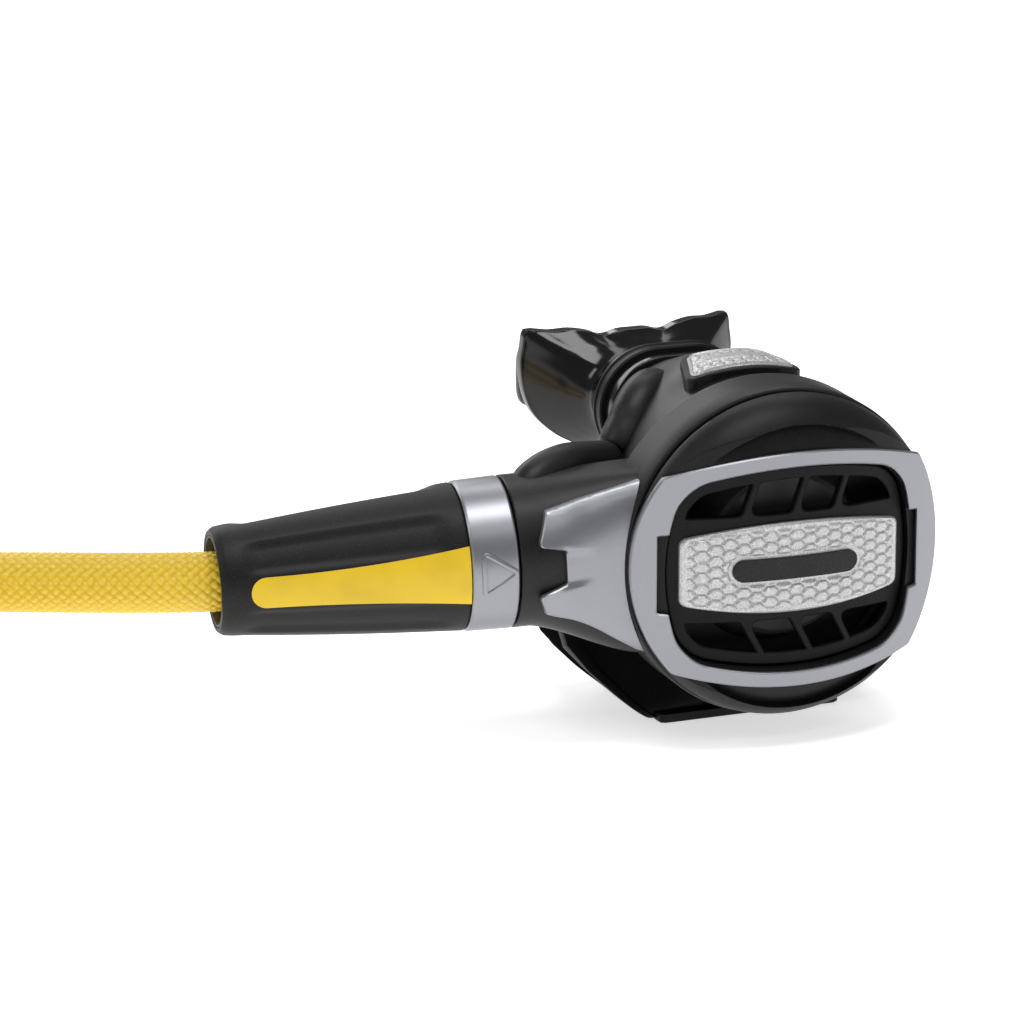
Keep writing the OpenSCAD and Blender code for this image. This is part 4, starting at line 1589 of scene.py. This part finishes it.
        def relief(x: np.ndarray, z: np.ndarray) -> np.ndarray:
            """Height of the badge's face.

            Args:
                x: Places along the badge.
                z: Places up the badge.

            Returns:
                The heights.
            """
            inside = polar_gap(outline + [0, self.drop], x, z + self.drop)
            field = smoothstep(1.2, 2.0, inside)
            bar = smoothstep(0.2, 1.0, np.hypot(np.maximum(np.abs(x) - 12.5, 0), z + self.drop) - 3.0)
            return 0.42 * honeycomb(x, z + self.drop, 2.5) * field * bar + 0.12 * (1 - field)

        flat = pad(outline, (0.0, -self.drop), 1.1, 0.35, (280, 110), relief)
        return flat.bent(lambda x, z: self.button(x) - 1.15)

    def emblem(self) -> Solid:
        """The plain dark bar in the middle of the badge.

        Returns:
            The bar.
        """
        half, r = 12.5, 2.5
        a = np.linspace(-math.pi / 2, math.pi / 2, 16)
        right = np.stack([half + r * np.cos(a), r * np.sin(a)], 1)
        outline = np.vstack([right, -right]) - [0, self.drop]
        flat = pad(outline, (0.0, -self.drop), 1.0, 0.25, (60, 12), lambda x, z: 0.0 * x)
        return flat.bent(lambda x, z: self.button(x) - 1.95)

    def build(self, bench: Bench) -> None:
        """Makes the cover's pieces.

        Args:
            bench: Where they are made.
        """
        bench.piece("cover_shell", self.cover(), HOUSING, Finishes.trim, Slot.TRIM, replaces=("cover_ring",))
        ring = plate(self.ring_outline(), [self.notched_outline()], 1.45, 0.3, 1.2)
        ring = ring.bent(lambda x, z: self.face(x))
        bench.piece("face_ring_plate", ring, HOUSING, Finishes.silver, Slot.SILVER, replaces=("face_ring",),
                    sharp=math.radians(24))
        bench.piece("purge_grille_plate", self.grille(), HOUSING, Finishes.grille, Slot.TRIM, Body.PURGE,
                    ("purge_grille",), math.radians(24))
        bench.piece("purge_badge_plate", self.badge(), HOUSING, Finishes.badge, Slot.BADGE, Body.PURGE,
                    ("purge_badge",))
        bench.piece("purge_emblem_bar", self.emblem(), HOUSING, Finishes.emblem, Slot.EMBLEM, Body.PURGE,
                    ("purge_emblem",))


# Selector and grip ----------------------------------------------------------------------------


@dataclass
class Selector:
    """The selector ring with its pointer, and the grip that turns with it."""

    ring_end: float = 11.0
    grip_end: float = 65.5
    ring_r: float = 17.0
    grip_r: float = 16.5
    grip_end_r: float = 11.8
    facing_front: float = -math.pi / 2

    def grip_radius(self, s: np.ndarray) -> np.ndarray:
        """Radius of the plain grip cone."""
        t = (np.asarray(s, float) - self.ring_end) / (self.grip_end - self.ring_end)
        return self.grip_r + (self.grip_end_r - self.grip_r) * t + 0.35 * np.sin(math.pi * np.clip(t, 0, 1))

    def wrapped(self, solid: Solid, radius: Callable[[np.ndarray], np.ndarray]) -> Solid:
        """Wraps a flat plate round the barrel's front: x runs out along it and z runs up.

        Args:
            solid: The flat plate.
            radius: The barrel's radius at each x.

        Returns:
            The wrapped plate.
        """
        s, deep, up = solid.points.T
        r = radius(s)
        a = self.facing_front + up / r
        reach = r - deep
        return Solid(np.stack([reach * np.cos(a), reach * np.sin(a), s], 1), solid.faces)

    def ring(self) -> Solid:
        """The ring, with crisp chamfers at both edges.

        Returns:
            The ring.
        """
        r, end = self.ring_r, self.ring_end
        profile = [(13.7, 0.35), (16.3, 0.35), (r - 0.1, 0.75), (r, 1.0), (16.75, end - 0.9),
                   (16.68, end - 0.55), (16.3, end - 0.1), (13.7, end - 0.1)]
        return turned(profile, 192)

    def pointer(self) -> Solid:
        """A raised outline of a triangle that points at the housing.

        Returns:
            The triangle.
        """
        corners = rounded([(0.7, 0.0), (8.3, 5.1), (8.3, -5.1)], 0.9, 8)
        path = np.array([(s, -0.02, z) for s, z in corners])
        closed = np.vstack([path, path[:1]])
        gone = np.concatenate([[0], np.cumsum(np.linalg.norm(np.diff(closed, axis=0), axis=1))])
        at = np.linspace(0, gone[-1], 90, endpoint=False)
        even = np.stack([np.interp(at, gone, closed[:, k]) for k in range(3)], 1)
        angles = circle(10)
        rings = []
        for i, p in enumerate(even):
            t = even[(i + 1) % len(even)] - even[i - 1]
            t /= np.linalg.norm(t)
            side = np.array([t[2], 0.0, -t[0]])
            across = np.cos(angles)[:, None] * side * 0.6
            rings.append(p + across + np.sin(angles)[:, None] * np.array([0.0, 0.4, 0.0]))
        return self.wrapped(loft(np.array(rings), loop=True), lambda s: self.ring_r - 0.025 * s)

    def grip(self) -> Solid:
        """The tapered grip with shallow finger scallops and a rounded, slightly flared end.

        Returns:
            The grip.
        """
        count = 240
        a = circle(count)
        stations = np.concatenate([
            [self.ring_end + 0.05, self.ring_end + 0.25], np.linspace(self.ring_end + 0.6, 62.0, 64),
            [62.8, 63.6, 64.3, 64.9, 65.25, 65.45],
        ])
        turn = (a - self.facing_front + math.pi) % (2 * math.pi) - math.pi
        lobes = smoothstep(-0.25, 0.75, np.cos(5 * (turn - math.pi / 5)))
        lobes = lobes * smoothstep(0.16, 0.42, np.abs(turn))
        rings = []
        for s in stations:
            window = smoothstep(13.5, 19.0, s) * smoothstep(61.5, 56.0, s)
            lip = 0.6 * smoothstep(64.0, 65.5, s) ** 2
            edge = 0.5 * smoothstep(self.ring_end + 0.5, self.ring_end, s)
            flare = 0.12 * np.exp(-(((s - 62.5) / 2.2) ** 2))
            r = self.grip_radius(np.array([s]))[0] - 0.85 * lobes * window - lip - edge + flare
            rings.append(np.stack([r * np.cos(a), r * np.sin(a), np.full(count, s)], 1))
        for r, s in ((10.5, 65.5), (10.15, 65.2), (10.15, 59.5), (11.6, 40.0), (12.2, 22.0), (13.2, 14.4),
                     (13.2, self.ring_end + 0.05)):
            rings.append(np.stack([r * np.cos(a), r * np.sin(a), np.full(count, s)], 1))
        return loft(np.array(rings), loop=True)

    def inlay(self) -> Solid:
        """The coloured inlay: a tongue that flares towards the ring.

        Returns:
            The inlay.
        """
        start, end, tip_r = self.ring_end + 0.15, 59.2, 3.5

        def half(s: np.ndarray) -> np.ndarray:
            """Half width along the tongue."""
            return tip_r + 3.3 * np.clip((end - s) / (end - start), 0, 1) ** 2.1

        s = np.linspace(start, end - tip_r, 34)
        a = np.linspace(math.pi / 2, -math.pi / 2, 20)[1:-1]
        tip = np.stack([end - tip_r + tip_r * np.cos(a), half(np.array(end - tip_r)) * np.sin(a)], 1)
        outline = np.vstack([np.stack([s, half(s)], 1), tip, np.stack([s, -half(s)], 1)[::-1]])
        flat = plate(outline, [], 1.2, 0.12, 1.2, 1.2)
        flat.points[:, 1] -= 0.12
        return self.wrapped(flat, self.grip_radius)

    def build(self, bench: Bench) -> None:
        """Makes the selector's pieces.

        Args:
            bench: Where they are made.
        """
        bench.piece("selector_ring_band", self.ring(), BARREL, Finishes.silver, Slot.SILVER, Body.SELECTOR,
                    ("selector_ring",), math.radians(20))
        bench.piece("selector_pointer", self.pointer(), BARREL, Finishes.silver, Slot.SILVER, Body.SELECTOR)
        bench.piece("selector_grip_sleeve", self.grip(), BARREL, Finishes.grip, Slot.GRIP, Body.SELECTOR,
                    ("selector_grip",))
        bench.piece("grip_inlay_tongue", self.inlay(), BARREL, Finishes.inlay, Slot.INLAY, Body.SELECTOR,
                    ("grip_inlay",))
        liner = [(9.6, 60.4), (10.05, 60.4), (10.05, 65.3), (9.9, 65.4), (9.7, 65.4), (9.6, 65.3)]
        bench.piece("grip_liner_ring", turned(liner), BARREL, Finishes.liner, Slot.LINER, Body.SELECTOR,
                    ("grip_liner",))


# Mouthpiece -----------------------------------------------------------------------------------


@dataclass
class Mouthpiece:
    """The glossy mouthpiece with its lip shield and bite tabs, and the tie on its neck."""

    neck_z: float = 18.5
    count: int = 180
    # Right half of the lip shield's edge, from the top round to the bottom, about its middle.
    shield: tuple[tuple[float, float], ...] = (
        (0.0, 14.1), (3.5, 14.0), (7.5, 13.1), (11.0, 14.2), (15.5, 14.9), (20.0, 14.6), (23.6, 15.0),
        (25.4, 15.0), (26.2, 13.6), (26.5, 11.0), (27.0, 6.6), (26.2, 0.0), (24.3, -5.0), (21.0, -8.8),
        (16.7, -11.8), (11.0, -13.8), (5.0, -14.3), (0.0, -14.4),
    )

    def sleeve_reach(self, a: np.ndarray, w: float, h: float) -> np.ndarray:
        """Distance to a flat-sided oval's edge.

        Args:
            a: The angles.
            w: The oval's half width.
            h: Its half height.

        Returns:
            The distances.
        """
        half = w - h
        out = half * np.abs(np.cos(a)) + np.sqrt(np.maximum(h**2 - (half * np.sin(a)) ** 2, 0))
        flat = h / np.maximum(np.abs(np.sin(a)), 1e-6)
        return np.where(np.abs(flat * np.cos(a)) < half, flat, out)

    def shield_reach(self, a: np.ndarray) -> np.ndarray:
        """Distance to the lip shield's edge.

        Args:
            a: The angles.

        Returns:
            The distances.
        """
        right = np.array(self.shield)
        left = right[1:-1][::-1] * [-1, 1]
        outline = smooth_path(np.vstack([right, left]), 400, closed=True)
        return polar(outline, a)

    def body(self) -> Solid:
        """The mouthpiece as one hollow loft, from its sleeve to its lip shield and back inside.

        Returns:
            The mouthpiece without its tabs.
        """
        a = circle(self.count)
        c, s = np.cos(a), np.sin(a)
        shield = self.shield_reach(a)
        # Depth, oval half width and half height, share of the shield, middle height, and side sweep.
        outside = smooth_path([
            (56.9, 17.3, 12.8, 0.0, 18.5, 0.0), (57.4, 17.6, 13.1, 0.0, 18.5, 0.0),
            (62.0, 17.6, 13.1, 0.0, 18.5, 0.0), (67.5, 17.6, 13.1, 0.0, 18.5, 0.0),
            (70.2, 17.0, 12.6, 0.0, 18.4, 0.0), (73.0, 15.6, 10.8, 0.0, 18.0, 0.0),
            (76.0, 14.7, 9.4, 0.0, 17.6, 0.0), (78.6, 14.9, 9.3, 0.06, 17.4, 0.1),
            (81.0, 15.6, 9.8, 0.24, 17.2, 0.4), (82.8, 16.0, 10.0, 0.48, 17.1, 0.7),
            (84.4, 16.0, 10.0, 0.73, 17.0, 0.9), (85.6, 16.0, 10.0, 0.92, 17.0, 1.0),
            (86.0, 16.0, 10.0, 0.985, 17.0, 1.0), (86.5, 16.0, 10.0, 1.0, 17.0, 1.0),
            (88.4, 16.0, 10.0, 1.0, 17.0, 1.0), (88.9, 16.0, 10.0, 0.985, 17.0, 1.0),
            (89.1, 16.0, 10.0, 0.95, 17.0, 1.0),
        ], 120)
        inside = [
            (88.9, 16.0, 10.0, 0.88, 17.0, 1.0), (88.4, 15.0, 9.0, 0.5, 17.0, 0.9),
            (88.6, 14.4, 7.8, 0.1, 17.0, 0.5), (91.4, 14.0, 7.4, 0.0, 17.0, 0.3),
            (91.6, 13.2, 6.7, 0.0, 17.0, 0.3), (86.0, 13.0, 6.8, 0.0, 17.0, 0.0),
            (78.0, 12.5, 7.0, 0.0, 17.5, 0.0), (68.0, 15.3, 10.8, 0.0, 18.5, 0.0),
            (57.0, 15.4, 10.9, 0.0, 18.5, 0.0),
        ]
        rings = []
        for y, w, h, share, z, sweep in [*outside, *inside]:
            reach = self.sleeve_reach(a, w, h) * (1 - share) + shield * share
            x = reach * c
            bend = sweep * x**2 / 160
            rings.append(np.stack([x, y + bend, z + reach * s], 1))
        return loft(np.array(rings), loop=True)

    def tab(self, side: int) -> Solid:
        """One bite tab, with a raised pad at its end.

        Args:
            side: 1 on the right and -1 on the left.

        Returns:
            The tab.
        """
        rows = smooth_path([
            (88, 1.7, 6.4, 18.2), (93, 1.7, 6.5, 18.5), (100, 1.7, 6.6, 18.8), (103, 2.2, 7.0, 19.0),
            (105, 2.9, 7.4, 19.2), (107, 2.8, 7.2, 19.2), (108, 1.6, 6.0, 19.2),
        ], 40)
        a = circle(36)
        power = 2 / 3.2
        c = np.sign(np.cos(a)) * np.abs(np.cos(a)) ** power
        s = np.sign(np.sin(a)) * np.abs(np.sin(a)) ** power
        return loft(np.array([
            np.stack([side * x + w * c, np.full(36, y), 17 + h * s], 1) for y, w, h, x in rows
        ]))

    def tie(self) -> Solid:
        """The tie: a ribbed strap round the neck.

        Returns:
            The tie.
        """
        a = circle(self.count)
        profile = [(61.0, 0.1), (61.0, 0.9), (61.35, 1.3), (61.9, 1.3), (62.2, 0.95), (64.4, 0.95),
                   (64.7, 1.3), (65.25, 1.3), (65.6, 0.9), (65.6, 0.1)]
        rings = []
        for y, grow in profile:
            reach = self.sleeve_reach(a, 17.5 + grow, 13.0 + grow)
            x, z = reach * np.cos(a), self.neck_z + reach * np.sin(a)
            rings.append(np.stack([x, np.full(self.count, y), z], 1))
        buckle = pad(rounded([(-3, -2.7), (3, -2.7), (3, 2.7), (-3, 2.7)], 0.8), (0, 0), 3.0, 0.4, (12, 12),
                     lambda x, z: 0.25 * smoothstep(1.2, 1.5, np.abs(z)))
        x, deep, along = buckle.points.T
        under = self.neck_z - 13.0 - 4.2
        block = Solid(np.stack([x, 63.3 + along, under + deep], 1), buckle.faces)
        return loft(np.array(rings), loop=True).plus(block)

    def build(self, bench: Bench) -> None:
        """Makes the mouthpiece's pieces.

        Args:
            bench: Where they are made.
        """
        body = self.body().plus(self.tab(-1)).plus(self.tab(1))
        bench.piece("mouthpiece_body", body, HOUSING, Finishes.mouth, Slot.MOUTH, replaces=("mouthpiece",),
                    sharp=math.radians(50))
        bench.piece("mouthpiece_tie", self.tie(), HOUSING, Finishes.trim, Slot.TRIM,
                    replaces=("mouthpiece_clamp",))


# Exhaust tee ----------------------------------------------------------------------------------


@dataclass
class ExhaustTee:
    """The swept exhaust tee, open at both ends, that the regulator rests on."""

    floor: float = -42.5
    wing_tip: float = 39.0
    foot_half: float = 22.3

    def ring(self, share: float, inset: float) -> np.ndarray:
        """One section from side to side.

        Args:
            share: Where it lies, from -1 at the left opening to 1 at the right one.
            inset: How far inside the outer skin it lies.

        Returns:
            The section's points.
        """
        a = circle(72)
        power = 2 / 7
        across = np.sign(np.cos(a)) * np.abs(np.cos(a)) ** power
        up = np.sign(np.sin(a)) * np.abs(np.sin(a)) ** power
        out = abs(share)
        low = self.floor + inset
        top = -5.0 - 16.0 * smoothstep(0.1, 1.0, out) - inset
        z = low + (up + 1) / 2 * (top - low)
        rise = z - self.floor
        front = 15.6 + (0.3 + 0.62 * out) * rise + inset * (1 + out * 0.4)
        back = 47.4 + 0.16 * rise * (1 - 0.2 * out) - inset
        y = front + (across + 1) / 2 * (np.maximum(back, front + 4) - front)
        half = self.foot_half + (self.wing_tip - self.foot_half) * np.clip(rise / 14.7, 0, 1) ** 0.75
        return np.stack([share * half, y, z], 1)

    def body(self) -> Solid:
        """The hollow tee, with a raised lip round each opening.

        Returns:
            The tee.
        """
        outer = [(-1.0, 0.55), (-0.995, 0.1), (-0.975, -0.02), (-0.925, -0.02), (-0.905, 0.4)]
        stations = [*outer, *[(t, 0.4) for t in np.linspace(-0.86, 0.86, 40)]]
        stations += [(-t, i) for t, i in outer[::-1]]
        inner = [(t, 2.4) for t in np.linspace(1.0, -1.0, 30)]
        rings = np.array([self.ring(t, inset) for t, inset in [*stations, *inner]])
        rings[..., 2] = np.maximum(rings[..., 2], self.floor)
        return loft(rings, loop=True)

    def foot(self) -> Solid:
        """The flat sole.

        Returns:
            The sole.
        """
        outline = rounded([(-22.2, 15.4), (22.2, 15.4), (22.0, 43.6), (-22.0, 43.6)], 1.6)
        flat = pad(outline, (0.0, 30.0), 2.0, 0.3, (24, 16), lambda x, z: 0.0 * x)
        x, deep, y = flat.points.T
        return Solid(np.stack([x, y, self.floor + deep], 1), flat.faces)

    def build(self, bench: Bench) -> None:
        """Makes the tee."""
        bench.piece("exhaust_tee_body", self.body().plus(self.foot()), HOUSING, Finishes.tee, Slot.SHELL,
                    replaces=("exhaust_tee",))


# Parts that stay as CAD gives them --------------------------------------------------------------


@dataclass
class Works:
    """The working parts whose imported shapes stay, each in its own finish."""

    finishes: dict[str, Finish] = field(default_factory=lambda: {
        "purge_springs": Finishes.steel, "diaphragm": Finishes.membrane, "diaphragm_disc": Finishes.steel,
        "diaphragm_ring": Finishes.trim, "demand_lever": Finishes.steel, "valve_tube": Finishes.brass,
        "poppet": Finishes.brass, "poppet_pad": Finishes.rubber, "poppet_spring": Finishes.steel,
        "lever_washer": Finishes.steel, "poppet_nut": Finishes.brass, "orifice": Finishes.brass,
        "orifice_oring": Finishes.rubber, "inlet_nut": Finishes.steel, "mode_shutter": Finishes.trim,
        "shutter_oring": Finishes.rubber, "hose_nut": Finishes.steel, "hose_stem": Finishes.brass,
        "hose_oring": Finishes.rubber, "hose_ferrule": Finishes.steel,
        "exhaust_seat": Finishes.trim, "exhaust_valve": Finishes.rubber,
    })

    def build(self, bench: Bench) -> None:
        """Dresses each part."""
        for node, finish in self.finishes.items():
            bench.dress(node, finish)


def main() -> None:
    """Builds the scene in order."""
    logging.basicConfig(level=logging.INFO, format="%(message)s")
    studio = Studio()
    studio.camera()
    bench = Bench()
    for part in (Hose(), Housing(), PurgeCover(), Selector(), Mouthpiece(), ExhaustTee(), Works()):
        part.build(bench)
    studio.light()
    log.info("%d pieces made", len(bench.made))


if __name__ == "__main__":
    main()
